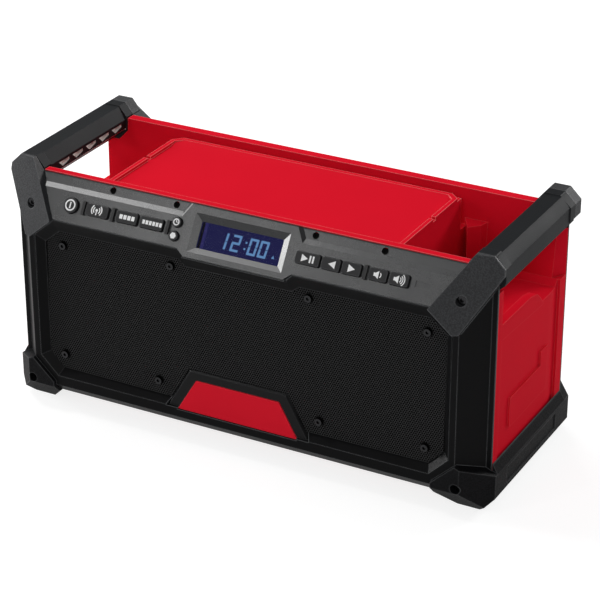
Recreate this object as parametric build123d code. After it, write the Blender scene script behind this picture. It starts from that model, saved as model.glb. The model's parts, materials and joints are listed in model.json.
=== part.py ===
from build123d import *
import os
from math import cos, radians, sin

# Jobsite radio, real size, millimetres.  +X is the right of someone facing the front,
# the front looks along -Y, +Z is up, and the origin is under the middle of the radio.

os.makedirs("parts", exist_ok=True)

# ---------------------------------------------------------------- driving dimensions
overall_width = 404.0
overall_depth = 180.0
overall_height = 200.0

fit = 0.2                   # gap between two fixed pieces that sit side by side
key_gap = 0.3               # gap all round a moving key in its hole
wall = 3.5                  # moulded walls

# body envelope
rail_proud = 4.5            # how far rails and handles stand out past the side faces
bracket_proud = 5.0         # how far the handle plates stand out past the front rim
corner_depth = 20.5         # front corner bevel, along Y
back_corner_depth = 25.0
corner_width = 16.1         # corner bevel, along X
flange_width = 4.2          # step between the corner bevel and the side face
flange_thickness = 1.5
body_bottom = 13.0
bottom_bevel = 8.0

# control panel
panel_slope = 57.8          # degrees from level
panel_foot_below_top = 39.4
panel_front_proud = 1.0
panel_length = 35.9         # up the slope
panel_thickness = 3.2
panel_rim_depth = 5.0
panel_rim_width = 3.0
panel_lower_edge = 1.3
strip_start = 24.5          # up the slope, where the screw strips drop back
strip_ramp = 4.0
strip_side_ramp = 3.4        # the same beside the display housing
strip_drop = 1.95
strip_slant = 7.8
row_height = 14.3           # up the slope, middle of the key row
panel_usual_half = 154.6    # half width of the panel's foot that the places across are given for
key_height = 8.9
key_corner = 1.0
key_proud = 2.4
key_travel = 1.0
key_flange = 1.0            # depth and overhang of the flange behind the panel
power_diameter = 12.0
small_key_diameter = 7.6
small_key_spread = 5.1
divider_rib_width = 2.4
divider_rib_proud = 2.2
divider_rib_length = 10.4
panel_screw_up = 32.0
panel_screw_well = 2.1
panel_screw_length = 8.0
board_side_gap = 5.4        # panel's foot to the ends of the boards behind it
panel_screw_places = (57.1, 111.6)
legend_pad_width = 12.0
legend_pad_height = 4.8
legend_pad_depth = 0.5
power_place = -141.5
small_keys_place = -51.6
legend_pad_place = 146.5
divider_places = (-130.5, -104.9, -58.0, 102.4)
key_spans = {
    "wireless_button": (-127.9, -108.8),
    "mode_button": (-101.7, -83.6),
    "preset_button": (-81.2, -62.0),
    "play_pause_button": (47.5, 66.6),
    "previous_button": (68.4, 82.8),
    "next_button": (84.4, 99.0),
    "volume_down_button": (105.4, 119.4),
    "volume_up_button": (121.2, 136.0),
}

# display
window_half_width = 38.9
window_height = 29.5
glass_half_width = 33.6
glass_bottom = 4.6
glass_top = 24.2
bevel_depth = 2.6
housing_half_width = 49.3
chin_half_width = 41.0
chin_slant = 6.3
chin_drop = 5.1
lens_thickness = 1.5
board_thickness = 1.6
membrane_inner = 44.0
board_post_height = 7.5

# speaker opening and grille
rim_width = 5.2
rim_bottom = 29.1
grille_screw_inset = 26.2
grille_screw_top_drop = 11.5
grille_screw_inner_top = 57.1
grille_screw_inner_drop = 7.3
grille_screw_inner_foot = 67.7
grille_screw_rise = 18.2
opening_corner = 15.0
opening_upper_corner = 14.0
opening_bevel = 5.6
opening_depth = 6.0
opening_drop = 10.5         # height of the sloping band under the control panel
chin_band = 11.0
baffle_gap = 9.0            # rim plane to baffle
baffle_thickness = 4.0
grille_thickness = 1.5
grille_top_back = 7.3       # behind the rim plane
grille_bottom_back = 2.9
grille_fold = 2.2           # how far the lower outer corners fold back
grille_gap = 0.4
fold_top_in = 42.0
fold_top_drop = 14.0

# badge
badge_bottom_half = 57.6
badge_top_half = 38.3
badge_height = 30.0
badge_foot = 28.9
badge_skirt = 3.0
plate_bottom_half = 50.7
plate_top_half = 34.9
plate_foot = 27.7
plate_height = 26.6
badge_back = 1.6            # behind the rim plane at its foot
badge_lean = 1.2
badge_seat = 4.5            # rim plane to where the skirt meets the grille
badge_plate_back = 1.9      # frame's face to the back of the plate
plate_thickness = 1.4

# speakers
speaker_from_rim = 77.2     # front rim's outer edge to the middle of a speaker
speaker_share = 0.6234      # of the height between the rim and the tray floor
basket_share = 0.9
hole_margin = 16.0          # flange diameter less that of the hole
bolt_margin = 7.0
neck_share = 0.51
magnet_share = 0.66
magnet_rim = 6.0
cone_neck_share = 0.277
slot_share = 0.234
basket_flange_thickness = 3.0
basket_depth = 24.0
basket_wall = 2.0
magnet_thickness = 18.0

# red shell and tray
rim_below_top = 9.5
rim_wall = 6.0
back_wall_thickness = 8.0
back_wall_draft = 3.0
back_wall_cove = 4.5        # slope where the back wall meets the tray floor
back_wall_drop = 0.8
platform_from_rim = 56.2     # front rim's outer edge to the side of the raised platform
platform_drop = 3.0
platform_back_gap = 13.0
platform_corner = 7.0
bead_width = 3.4
bead_height = 2.4
bead_ramp = 13.0            # slope up to the bead at the platform's rear
bead_rear_flat = 2.5
tray_depth = 60.5           # rim to the floor of the side trays
channel_depth = 28.5
lip_width = 6.5
lip_height = 15.0           # above the floor of the side trays
lip_band = 12.6
lip_drop = 4.1              # fall of the band's lower edge towards its end
lip_rear_gap = 34.0         # lip's end to the back wall's front face
lip_end_slope = 12.0
side_wall = 8.0
panel_sink = 1.2
groove_sink = 2.2
front_strip = 7.2
pad_rise = 1.5              # stepped pad on the side panel
pad_front_gap = 20.0
pad_rear_gap = 1.0
pad_foot_share = 0.1694915  # of the height between the rail's ledge and the band
pad_top_share = 0.5508475
pad_step_share = 0.1271186
pad_tab = 12.0
wall_end_set = 6.6          # the back wall's ends run outwards and back from here
post_width = 20.0
post_offset = 3.0           # inwards from the platform's side
post_reach = 14.0
post_height = 37.5
post_fall = 2.0
boss_diameter = 10.0

# handles
handle_flat = 12.6          # flat on top of the bar
handle_flat_from_side = 8.7
handle_chamfer = 8.5
handle_width = 28.0
handle_depth = 28.0
grip_inset = 0.8
collar_length = 9.0
rear_stub = 12.3            # bar end behind the red shell
rear_stub_chamfer = 1.2
plate_lean_x = 0.274
plate_lean_z = 0.3316
plate_corner_back = 26.05   # foremost point of the radio to the plate's face at its top outer corner
plate_inner_foot = 47.4     # from the side, at the plate's inner lower corner
plate_foot_below_top = 39.0
plate_side_below_top = 13.4
plate_tip_below_top = 55.0
plate_tip_outer = 24.0
plate_tip_inner = 28.5
plate_fold_drop = 1.6
plate_edge_bevel = 3.0
handle_screw_from_side = 25.8
handle_screw_below_top = 31.4
finger_pockets = 5
finger_rib = 3.9
finger_end_room = 14.0
first_pocket_gap = 11.7
finger_pocket_depth = 3.5
grip_edge_ease = 1.1
grip_outer_rise = 6.4
grip_inner_rise = 10.4
grip_inner_drop = 10.2

# base rails
rail_inner_from_side = 42.4
rail_flat_inner = 29.0
rail_flat_outer = 11.3
rail_side_bottom = 11.5
rail_side_top = 30.5
rail_ledge_top = 38.0
rail_plate_top = 41.4
rail_plate_top_from_side = 24.0
rail_tip_height = 24.2
rail_plate_inset = 2.0      # plate face behind the front-most point of the radio
rail_corner = 20.0
rail_recess = 0.8
rail_band = 17.0
rail_screw_from_side = 22.9
rail_screw_height = 23.7
pad_width = 13.0
pad_end_gap = 4.0
pad_recess = 1.0

# screws
case_screw_head = 6.8
case_screw_shank = 3.6
case_screw_hole = 3.9
grille_screw_head = 5.6
grille_screw_bed = 0.2      # rim of the head that may bear on the leaning sheet
grille_corner_set = 1.2     # set-back of the lower corner screws, where the sheet folds
grille_screw_shank = 3.0
small_screw_head = 4.4
small_screw_shank = 2.4
head_height = 2.0

# rear side
rear_top_drop = 16.0        # below the top of the radio, at the shell
rear_slope_drop = 42.0      # the same at the rear face
bay_half_width = 44.0
bay_rise = 21.0             # above the underside of the body
bay_top_drop = 36.0         # below the upper edge of the rear face
bay_depth = 40.0
bay_rail_width = 5.0
bay_rail_back = 12.0
bay_rail_thickness = 4.0
bay_rail_mouth = 36.0       # the pack enters above the rails and slides down
port_from_bay = 61.0
port_below_bay_top = 27.0
port_width = 44.0
port_height = 35.0
port_depth = 10.0
port_wall = 2.5
flap_thickness = 3.0
flap_pin_diameter = 3.0
flap_barrel_diameter = 5.0
hinge_clearance = 0.06      # all round the pin
inlet_diameter = 14.0
inlet_hole = 8.0
inlet_pin = 2.4
rear_screw_inset = 27.2
rear_screw_top_drop = 18.0
rear_screw_rise = 22.0
rear_screw_from_bay = 18.0
terminal_half_width = 16.0
terminal_height = 32.0
terminal_below_middle = 2.0
terminal_depth = 8.0
blade_places = (-11.0, -4.0, 4.0, 11.0)
blade_reach = 9.0
blade_thickness = 1.2

# inside
board_half_width = 70.0
board_front = -36.0
board_back = 28.0
board_post_inset = (8.0, 6.0)
sink_fins = 6
sink_pitch = 5.6

# ---------------------------------------------------------------- places worked out from them
half_width = overall_width / 2
half_depth = overall_depth / 2
plate_lean_start = plate_corner_back - half_depth - plate_lean_x * half_width - plate_lean_z * overall_height
side_x = half_width - rail_proud
front_y = -(half_depth - bracket_proud)
back_y = half_depth - bracket_proud
shell_front = front_y + corner_depth
shell_back = back_y - back_corner_depth
bevel_x = side_x - flange_width
rim_x = bevel_x - corner_width
rim_top = overall_height - rim_below_top
tray_floor = rim_top - tray_depth
channel_floor = rim_top - channel_depth
lip_top = tray_floor + lip_height
post_top = tray_floor + post_height
rear_top_front = overall_height - rear_top_drop
rear_top_back = overall_height - rear_slope_drop
handle_screw_height = overall_height - handle_screw_below_top
board_top_level = body_bottom + wall + board_post_height
speaker_spacing = rim_x - speaker_from_rim
speaker_height = rim_bottom + speaker_share * (tray_floor - rim_bottom)
basket_flange = basket_share * (tray_floor - rim_bottom + wall)
speaker_hole = basket_flange - hole_margin
speaker_bolt_circle = basket_flange - bolt_margin
basket_neck = neck_share * basket_flange
magnet_diameter = magnet_share * basket_flange
cone_neck = cone_neck_share * basket_flange
bay_bottom = body_bottom + bay_rise
bay_top = rear_top_back - bay_top_drop
port_centre_x = -bay_half_width - port_from_bay
port_centre_z = bay_top - port_below_bay_top
inlet_x = -port_centre_x
inlet_z = port_centre_z
rear_screw_places = (
    (rim_x - rear_screw_inset, rear_top_back - rear_screw_top_drop),
    (rim_x - rear_screw_inset, bay_bottom + rear_screw_rise),
    (bay_half_width + rear_screw_from_bay, rear_top_back - rear_screw_top_drop),
)
platform_top = rim_top - platform_drop
platform_half_width = rim_x - platform_from_rim
tray_front = shell_front + rim_wall
tray_back = shell_back - back_wall_thickness
platform_back = tray_back - platform_back_gap
panel_foot = overall_height - panel_foot_below_top
slope = radians(panel_slope)
baffle_front = front_y + baffle_gap
baffle_back = baffle_front + baffle_thickness
bar_inner = half_width - handle_width
bar_bottom = overall_height - handle_depth
handle_top_inner = half_width - handle_flat_from_side - handle_flat
groove_start = tray_back - 21.0
groove_wall = tray_back - 2.0
key_back = -panel_thickness - key_flange - fit / 2
board_out = key_back - key_travel - 2.0
reach = 500.0
board_half = half_width - plate_inner_foot - fit - board_side_gap
lip_end = tray_back - lip_rear_gap
back_wall_lean = back_wall_draft / (tray_depth - back_wall_cove)

panel_plane = Plane(
    origin=(0, front_y - panel_front_proud, panel_foot),
    x_dir=(1, 0, 0),
    z_dir=(0, -sin(slope), cos(slope)),
)


# ---------------------------------------------------------------- helpers
def block(x0, x1, y0, y1, z0, z1):
    """A box between two corners."""
    middle = ((x0 + x1) / 2, (y0 + y1) / 2, (z0 + z1) / 2)
    return Pos(*middle) * Box(abs(x1 - x0), abs(y1 - y0), abs(z1 - z0))


def pair(x0, x1, y0, y1, z0, z1):
    """The same box on the right and on the left."""
    return block(x0, x1, y0, y1, z0, z1) + block(-x1, -x0, y0, y1, z0, z1)


def prism(points, direction):
    """A flat outline, given in space, pushed along a direction."""
    return Solid.extrude(Face(Wire.make_polygon(points)), Vector(*direction))


def front_prism(outline, y0, y1):
    """An X-Z outline pushed from y0 to y1."""
    return prism([(x, y0, z) for x, z in outline], (0, y1 - y0, 0))


def side_prism(outline, x0, x1):
    """A Y-Z outline pushed from x0 to x1."""
    return prism([(x0, y, z) for y, z in outline], (x1 - x0, 0, 0))


def plan_prism(outline, z0, z1):
    """An X-Y outline pushed from z0 to z1."""
    return prism([(x, y, z0) for x, y in outline], (0, 0, z1 - z0))


def both_sides(outline):
    """Closes an outline given for x > 0 by its mirror image."""
    return outline + [(-x, z) for x, z in reversed(outline)]


def grown_prism(outline, gap, y0, y1):
    """A front outline grown by a gap and pushed from y0 to y1."""
    face = Face(Wire.make_polygon([(x, y0, z) for x, z in outline]))
    wire = face.outer_wire().offset_2d(gap, kind=Kind.INTERSECTION)
    return Solid.extrude(Face(wire), Vector(0, y1 - y0, 0))


def rod(diameter, x, z, y0, y1):
    """A round bar along Y."""
    return Pos(x, (y0 + y1) / 2, z) * Rot(90, 0, 0) * Cylinder(diameter / 2, abs(y1 - y0))


def flare(diameter0, diameter1, x, z, y0, y1):
    """A round bar along Y that changes diameter from y0 to y1."""
    cone = Rot(-90, 0, 0) * Cone(diameter0 / 2, diameter1 / 2, y1 - y0)
    return Pos(x, (y0 + y1) / 2, z) * cone


def on_panel(shape, x, up, out):
    """Puts a shape on the sloped panel: x across, up the slope, out from its face."""
    return panel_plane * Pos(x, up, out) * shape


def panel_block(x0, x1, up0, up1, out0, out1):
    """A box between two corners given on the sloped panel."""
    middle = ((x0 + x1) / 2, (up0 + up1) / 2, (out0 + out1) / 2)
    return on_panel(Box(abs(x1 - x0), abs(up1 - up0), abs(out1 - out0)), *middle)


def panel_rod(diameter, x, up, out0, out1):
    """A round bar square to the sloped panel."""
    return on_panel(Cylinder(diameter / 2, abs(out1 - out0)), x, up, (out0 + out1) / 2)


def panel_prism(outline, out0, out1):
    """An outline drawn on the sloped panel, pushed along the panel's normal."""
    points = [tuple(panel_plane.from_local_coords(Vector(x, up, out0))) for x, up in outline]
    return prism(points, tuple(panel_plane.z_dir * (out1 - out0)))


def mirrored(shape):
    """The same shape on the other side of the radio."""
    return mirror(shape, about=Plane.YZ)


def turned_back(shape):
    """The same shape at the back of the radio."""
    return mirror(shape, about=Plane.XZ)


def save(name, *shapes):
    """Writes one node; several pieces stay a group of separate solids."""
    solids = [solid for shape in shapes for solid in shape.solids()]
    shape = solids[0] if len(solids) == 1 else Compound(children=solids)
    export_step(shape, f"parts/{name}.step")
    print(name, len(solids))


def screw(head, shank, length, x, z, y, inward=1):
    """A screw along Y: its head at y, its shank going inwards, a six-sided socket in the head."""
    body = rod(head, x, z, y, y + inward * head_height)
    body = body + rod(shank, x, z, y, y + inward * length)
    socket = Pos(x, y, z) * Rot(90, 0, 0) * extrude(RegularPolygon(head * 0.25, 6), head_height * 0.6, both=True)
    return body - socket


# ---------------------------------------------------------------- outlines shared by neighbours
plate_outline = [
    (half_width - plate_inner_foot, overall_height - plate_foot_below_top),
    (handle_top_inner, overall_height),
    (half_width - handle_flat_from_side, overall_height),
    (half_width, overall_height - handle_chamfer),
    (half_width, overall_height - plate_side_below_top),
    (half_width - plate_tip_outer, overall_height - plate_tip_below_top + 0.6),
    (half_width - plate_tip_inner, overall_height - plate_tip_below_top),
]

rail_section = [
    (half_width - rail_flat_inner, 0),
    (half_width - rail_flat_outer, 0),
    (half_width, rail_side_bottom),
    (half_width, rail_side_top),
    (side_x + fit, rail_ledge_top),
    (side_x + fit, body_bottom - fit),
    (half_width - rail_inner_from_side, body_bottom - fit),
]

rail_plate_outline = [
    (half_width - rail_flat_inner, 0),
    (half_width - rail_flat_outer, 0),
    (half_width, rail_side_bottom),
    (half_width, rail_side_top),
    (half_width - rail_plate_top_from_side, rail_plate_top),
    (half_width - rail_inner_from_side, rail_tip_height),
    (half_width - rail_inner_from_side, body_bottom - fit),
]

body_plan_front = [
    (side_x, shell_front - fit / 2), (side_x, shell_front - flange_thickness),
    (bevel_x, shell_front - flange_thickness), (rim_x, front_y),
    (-rim_x, front_y), (-bevel_x, shell_front - flange_thickness),
    (-side_x, shell_front - flange_thickness), (-side_x, shell_front - fit / 2),
]

body_plan_back = [
    (side_x, shell_back + fit / 2), (side_x, shell_back + flange_thickness),
    (bevel_x, shell_back + flange_thickness), (rim_x, back_y),
    (-rim_x, back_y), (-bevel_x, shell_back + flange_thickness),
    (-side_x, shell_back + flange_thickness), (-side_x, shell_back + fit / 2),
]

mouth_top = panel_foot - 0.6
chin_z = panel_foot - chin_drop * sin(slope) - 0.6
throat_top = mouth_top - opening_drop
throat_chin = chin_z - chin_band


def opening_outline(shrink, top, chin):
    """Outline of the speaker opening; shrink moves its sides and bottom inwards."""
    side = rim_x - rim_width - shrink
    bottom = rim_bottom + shrink
    corner = opening_corner - 0.6 * shrink
    upper = opening_upper_corner - 0.6 * shrink
    return both_sides([
        (chin_half_width + 0.5 * shrink, chin),
        (chin_half_width + chin_slant + 0.5 * shrink, top),
        (side - 1.2 * upper, top),
        (side, top - upper),
        (side, bottom + corner),
        (side - corner, bottom),
    ])


def badge_outline(gap):
    """Outline of the badge, grown all round by a gap."""
    return [
        (-badge_bottom_half - gap, badge_foot - gap), (badge_bottom_half + gap, badge_foot - gap),
        (badge_top_half + gap, badge_foot + badge_height + gap),
        (-badge_top_half - gap, badge_foot + badge_height + gap),
    ]


def skirt_outline(gap):
    """Outline of the badge's spread foot, where it meets the grille."""
    spread = badge_skirt + gap
    return [
        (-badge_bottom_half - spread, badge_foot - gap), (badge_bottom_half + spread, badge_foot - gap),
        (badge_top_half + spread, badge_foot + badge_height + spread),
        (-badge_top_half - spread, badge_foot + badge_height + spread),
    ]


grille_screw_places = [
    (rim_x - grille_screw_inset, throat_top - grille_screw_top_drop),
    (grille_screw_inner_top, throat_top - grille_screw_inner_drop),
    (rim_x - grille_screw_inset + 1.0, rim_bottom + grille_screw_rise),
    (grille_screw_inner_foot, rim_bottom + grille_screw_rise - 0.7),
]


def grille_lean():
    """Backward step of the unfolded grille face for each millimetre of height."""
    return (grille_top_back - grille_bottom_back) / (throat_top - rim_bottom - opening_bevel)


def grille_face(z):
    """Y of the unfolded grille face at a height."""
    return front_y + grille_bottom_back + (z - rim_bottom - opening_bevel) * grille_lean()


def grille_mass():
    """Everything behind the grille's folded front, inside its outline."""
    edge = opening_outline(opening_bevel + grille_gap, throat_top - grille_gap, throat_chin - grille_gap)
    high = overall_height
    mass = front_prism(edge, front_y, baffle_front - 0.05)
    mass = mass & side_prism([(grille_face(0), 0), (grille_face(high), high), (reach, high), (reach, 0)],
                             -reach, reach)
    top = Vector(rim_x - fold_top_in, 0, throat_top - fold_top_drop)
    foot = Vector(badge_top_half + 2, 0, badge_foot + badge_height + 3)
    corner = Vector(rim_x - rim_width, 0, rim_bottom)
    top = Vector(top.X, grille_face(top.Z), top.Z)
    foot = Vector(foot.X, grille_face(foot.Z), foot.Z)
    corner = Vector(corner.X, grille_face(corner.Z) + grille_fold, corner.Z)
    normal = (top - corner).cross(foot - corner).normalized()
    if normal.Y > 0:
        normal = normal * -1
    slab = Plane(origin=corner, z_dir=normal) * Pos(0, 0, reach / 2) * Box(2 * reach, 2 * reach, reach)
    return mass - slab - mirrored(slab)


# ---------------------------------------------------------------- front housing
def panel_seat():
    """Space above the sloped seat of the control panel."""
    low = panel_lower_edge - fit
    chin = low - chin_drop
    return panel_prism([
        (-chin_half_width - fit, chin), (chin_half_width + fit, chin),
        (chin_half_width + chin_slant + fit, low), (reach, low),
        (reach, 90), (-reach, 90), (-reach, low), (-chin_half_width - chin_slant - fit, low),
    ], -panel_rim_depth - fit, 60)


def opening_taper():
    """The sloping cheeks between the rim and the grille."""
    near = [(x, front_y - 0.001, z) for x, z in opening_outline(0.0, mouth_top, chin_z)]
    deep = [(x, front_y + opening_depth, z) for x, z in opening_outline(opening_bevel, throat_top, throat_chin)]
    return Solid.make_loft([Wire.make_polygon(near), Wire.make_polygon(deep)], ruled=True)


def front_housing():
    form = plan_prism(body_plan_front, body_bottom, overall_height - 12)
    nose = front_y + bottom_bevel
    form = form - side_prism([
        (front_y - 1, body_bottom - 1), (nose, body_bottom - 1), (nose, body_bottom),
        (front_y - 1, body_bottom + bottom_bevel + 1),
    ], -reach, reach)
    form = form - opening_taper()
    throat = opening_outline(opening_bevel, throat_top, throat_chin)
    form = form - front_prism(throat, front_y + opening_depth - 0.01, baffle_front)
    chin = side_prism([
        (front_y + 2, chin_z - 2.2), (front_y - 3.0, chin_z + 0.2), (front_y + 2, mouth_top + 4),
    ], -chin_half_width - 1.0, chin_half_width + 1.0)
    form = form + chin - panel_seat()
    depth = panel_rim_depth + 4.0
    foot_y = front_y + depth * sin(slope) + 2.0
    foot_z = panel_foot + 3.0 * sin(slope) - depth * cos(slope)
    cavity = side_prism([
        (shell_front + 1, body_bottom + wall + 4), (baffle_back, body_bottom + wall + 4),
        (baffle_back, foot_z - 4), (foot_y, foot_z), (shell_front + 1, foot_z + 30),
    ], -rim_x + 5, rim_x - 5)
    form = form - cavity
    for side in (-1, 1):
        form = form - rod(speaker_hole, side * speaker_spacing, speaker_height, baffle_front - 1, baffle_back + 1)
    form = form - panel_block(-board_half - 1, board_half + 1, 3.5, 60, -30, 5)
    for outline in (plate_outline, rail_plate_outline):
        cut = grown_prism(outline, fit, front_y - 20, shell_front + 1)
        form = form - cut - mirrored(cut)
    mass = Pos(0, grille_thickness + 0.05, 0) * grille_mass()
    for x, z in grille_screw_places:
        for side in (-1, 1):
            post = rod(9.0, side * x, z, front_y, baffle_front + 0.5) & mass
            form = form + post - rod(grille_screw_shank + 0.2, side * x, z, front_y, baffle_back + 1)
    form = form - front_prism(skirt_outline(fit), front_y - 5, baffle_front) - badge_pocket()
    for x, z in speaker_bolts():
        form = form - rod(small_screw_shank + 0.2, x, z, baffle_back - 2.6, baffle_back + 1)
    return form


def speaker_bolts():
    """X and Z of the screws round both speakers."""
    places = []
    radius = speaker_bolt_circle / 2
    for side in (-1, 1):
        for angle in (45, 135, 225, 315):
            places.append((side * speaker_spacing + radius * cos(radians(angle)),
                           speaker_height + radius * sin(radians(angle))))
    return places


def speaker_grille():
    mass = grille_mass()
    skin = mass - Pos(0, grille_thickness, 0) * mass
    skin = skin - front_prism(skirt_outline(fit), front_y - 10, baffle_front)
    for x, z in grille_screw_places:
        for side in (-1, 1):
            skin = skin - rod(grille_screw_shank + 0.4, side * x, z, front_y - 5, baffle_front)
    return skin


def grille_screws():
    made = []
    for x, z in grille_screw_places:
        extra = grille_corner_set if z < speaker_height and x > speaker_spacing else 0.0
        y = grille_face(z) + extra - head_height - grille_lean() * (grille_screw_head / 2 - grille_screw_bed)
        for side in (-1, 1):
            made.append(screw(grille_screw_head, grille_screw_shank, 7.5, side * x, z, y))
    return made


def badge_ring(outline, y):
    """A badge outline at a depth, as a closed wire."""
    return Wire.make_polygon([(x, y, z) for x, z in outline])


def badge_frame():
    rings = [badge_ring(badge_outline(0), front_y), badge_ring(skirt_outline(0), front_y + badge_seat)]
    form = Solid.make_loft(rings, ruled=True)
    form = form + front_prism(skirt_outline(0), front_y + badge_seat - 0.01, baffle_front - fit)
    form = form & side_prism([
        (front_y + badge_back, plate_foot - 5), (front_y + badge_back + badge_lean, badge_foot + badge_height + 5),
        (baffle_front, badge_foot + badge_height + 5), (baffle_front, plate_foot - 5),
    ], -reach, reach)
    return form - badge_pocket()


def badge_pocket():
    """Space in the badge frame and in the rim below it that takes the red plate."""
    return front_prism(badge_plate_outline(fit), front_y - 5, front_y + badge_back + badge_plate_back)


def badge_plate_outline(gap):
    return [
        (-plate_bottom_half - gap, plate_foot - gap), (plate_bottom_half + gap, plate_foot - gap),
        (plate_top_half + gap, plate_foot + plate_height + gap),
        (-plate_top_half - gap, plate_foot + plate_height + gap),
    ]


def badge_plate():
    face = front_y + badge_back + badge_plate_back - 0.1 - plate_thickness
    form = front_prism(badge_plate_outline(0), front_y - 5, front_y + badge_back + badge_plate_back - 0.1)
    return form & side_prism([
        (face - badge_lean, plate_foot - 5), (face, plate_foot + plate_height + 5),
        (baffle_front, plate_foot + plate_height + 5), (baffle_front, plate_foot - 5),
    ], -reach, reach)


# ---------------------------------------------------------------- control panel and keys
def spread(x):
    """Moves a place that suits the usual width to where it belongs on a wider or narrower panel."""
    usual = panel_usual_half - membrane_inner
    share = (half_width - plate_inner_foot - membrane_inner) / usual
    if x > 0:
        return membrane_inner + (x - membrane_inner) * share
    return -membrane_inner + (x + membrane_inner) * share


def key_shape(x0, x1, grow, out0, out1):
    """A four-sided key with cut corners, or its hole when grown."""
    low = row_height - key_height / 2 - grow
    high = row_height + key_height / 2 + grow
    cut = key_corner
    a, b = spread(x0) - grow, spread(x1) + grow
    return panel_prism([
        (a + cut, low), (b - cut, low), (b, low + cut), (b, high - cut),
        (b - cut, high), (a + cut, high), (a, high - cut), (a, low + cut),
    ], out0, out1)


def round_keys():
    """Name, place, height up the slope and diameter of the round keys."""
    return [
        ("power_button", spread(power_place), row_height, power_diameter),
        ("clock_button", spread(small_keys_place), row_height + small_key_spread, small_key_diameter),
        ("select_button", spread(small_keys_place), row_height - small_key_spread, small_key_diameter),
    ]


def panel_outline(gap):
    """Outline of the control panel on its slope; the gap shrinks it."""
    foot_half = half_width - plate_inner_foot - fit - gap
    lean = (handle_top_inner - half_width + plate_inner_foot) / plate_foot_below_top * sin(slope)
    low = panel_lower_edge + gap
    high = panel_length
    return [
        (-chin_half_width + gap, low - chin_drop), (chin_half_width - gap, low - chin_drop),
        (chin_half_width + chin_slant - gap, low), (foot_half + lean * low, low),
        (foot_half + lean * high, high), (-foot_half - lean * high, high),
        (-foot_half - lean * low, low), (-chin_half_width - chin_slant + gap, low),
    ]


def strip_drops():
    """What is taken off the front to leave the two set-back screw strips."""
    start = strip_start
    profile = [
        (start, 0.5), (start, 0.0), (start + strip_ramp, -strip_drop), (60, -strip_drop), (60, 0.5),
    ]
    points = []
    for up, out in profile:
        points.append(tuple(panel_plane.from_local_coords(Vector(0, up, out))))
    right = prism(points, (reach, 0, 0))
    rise = panel_length + 2 - strip_start
    foot = housing_half_width + strip_slant * 2 / rise
    section = [
        (-50, -20), (foot + 20 * strip_side_ramp / strip_drop, -20), (foot, 0), (foot, 20), (-50, 20),
    ]
    points = [tuple(panel_plane.from_local_coords(Vector(x, start - 2, out))) for x, out in section]
    along = panel_plane.y_dir * (rise + 2) - panel_plane.x_dir * (strip_slant * (rise + 2) / rise)
    right = right - prism(points, tuple(along))
    return right + mirrored(right)


def control_panel():
    form = panel_prism(panel_outline(0), -panel_rim_depth, 0)
    inner = panel_prism([(x, min(up, panel_length - panel_rim_width)) for x, up in panel_outline(panel_rim_width)],
                        -panel_rim_depth - 1, -panel_thickness)
    strip_block = panel_block(-reach, reach, strip_start + 0.2, 60, -panel_rim_depth - 1, -panel_thickness)
    form = form - (inner - strip_block)
    form = form - strip_drops()
    form = form - block(-reach, reach, shell_front - fit, 0, 0, 300)
    plate = grown_prism(plate_outline, fit, -half_depth - 5, shell_front + 1)
    form = form - plate - mirrored(plate)
    for place in divider_places:
        x = spread(place)
        rib = panel_block(x - divider_rib_width / 2, x + divider_rib_width / 2,
                          row_height - divider_rib_length / 2, row_height + divider_rib_length / 2,
                          -0.1, divider_rib_proud)
        form = form + rib
    for x0, x1 in key_spans.values():
        form = form - key_shape(x0, x1, key_gap, -10, 5)
    for name, x, up, diameter in round_keys():
        form = form - panel_rod(diameter + 2 * key_gap, x, up, -10, 5)
    x = spread(legend_pad_place)
    form = form - panel_block(x - legend_pad_width / 2, x + legend_pad_width / 2,
                              row_height - legend_pad_height / 2, row_height + legend_pad_height / 2,
                              -legend_pad_depth, 1)
    for x, side in panel_screw_points():
        top = -strip_drop - panel_screw_well
        form = form - panel_rod(small_screw_head + 0.8, side * x, panel_screw_up, top, 3)
        form = form - panel_rod(small_screw_shank + 0.3, side * x, panel_screw_up, -10, 3)
    return form - window_recess()


def panel_screw_points():
    """X of each panel screw and the side it is on."""
    return [(spread(x), side) for x in panel_screw_places for side in (-1, 1)]


def window_recess():
    """Sloping bevel of the display window and the opening behind it."""
    def ring(half, low, high, out):
        corners = [(-half, low), (half, low), (half, high), (-half, high)]
        return Wire.make_polygon([tuple(panel_plane.from_local_coords(Vector(x, up, out))) for x, up in corners])

    bevel = Solid.make_loft([
        ring(window_half_width, 0.4, window_height, 0.001),
        ring(glass_half_width, glass_bottom, glass_top, -bevel_depth),
    ], ruled=True)
    hole = panel_block(-glass_half_width, glass_half_width, glass_bottom, glass_top, -9, -bevel_depth + 0.01)
    return bevel + hole


def display_lens():
    gap = fit
    return panel_block(-glass_half_width + gap, glass_half_width - gap, glass_bottom + gap, glass_top - gap,
                       -bevel_depth - lens_thickness, -bevel_depth - 0.1)


def lcd_module():
    top = -panel_thickness - 1.1
    low = glass_bottom - 1.0
    return panel_block(-glass_half_width - 1, glass_half_width + 1, low, glass_top + 0.3, board_out, top)


def buttons():
    """Every key by name, each with a flange behind the panel."""
    made = {}
    for name, (x0, x1) in key_spans.items():
        key = key_shape(x0, x1, 0, key_back, key_proud)
        flange = panel_block(spread(x0) - 0.5, spread(x1) + 0.5, row_height - key_height / 2 - key_flange,
                             row_height + key_height / 2 + key_flange, key_back, key_back + key_flange)
        made[name] = key + flange
    for name, x, up, diameter in round_keys():
        key = panel_rod(diameter, x, up, key_back, key_proud)
        flange = panel_rod(diameter + 1.6, x, up, key_back, key_back + key_flange)
        made[name] = key + flange
    return made


def keypad_membrane():
    top = key_back - key_travel - fit
    left = panel_block(-board_half, -membrane_inner, row_height - 7.5, row_height + 8.5, board_out, top)
    right = panel_block(membrane_inner, board_half, row_height - 7.5, row_height + 8.5, board_out, top)
    return [left, right]


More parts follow.
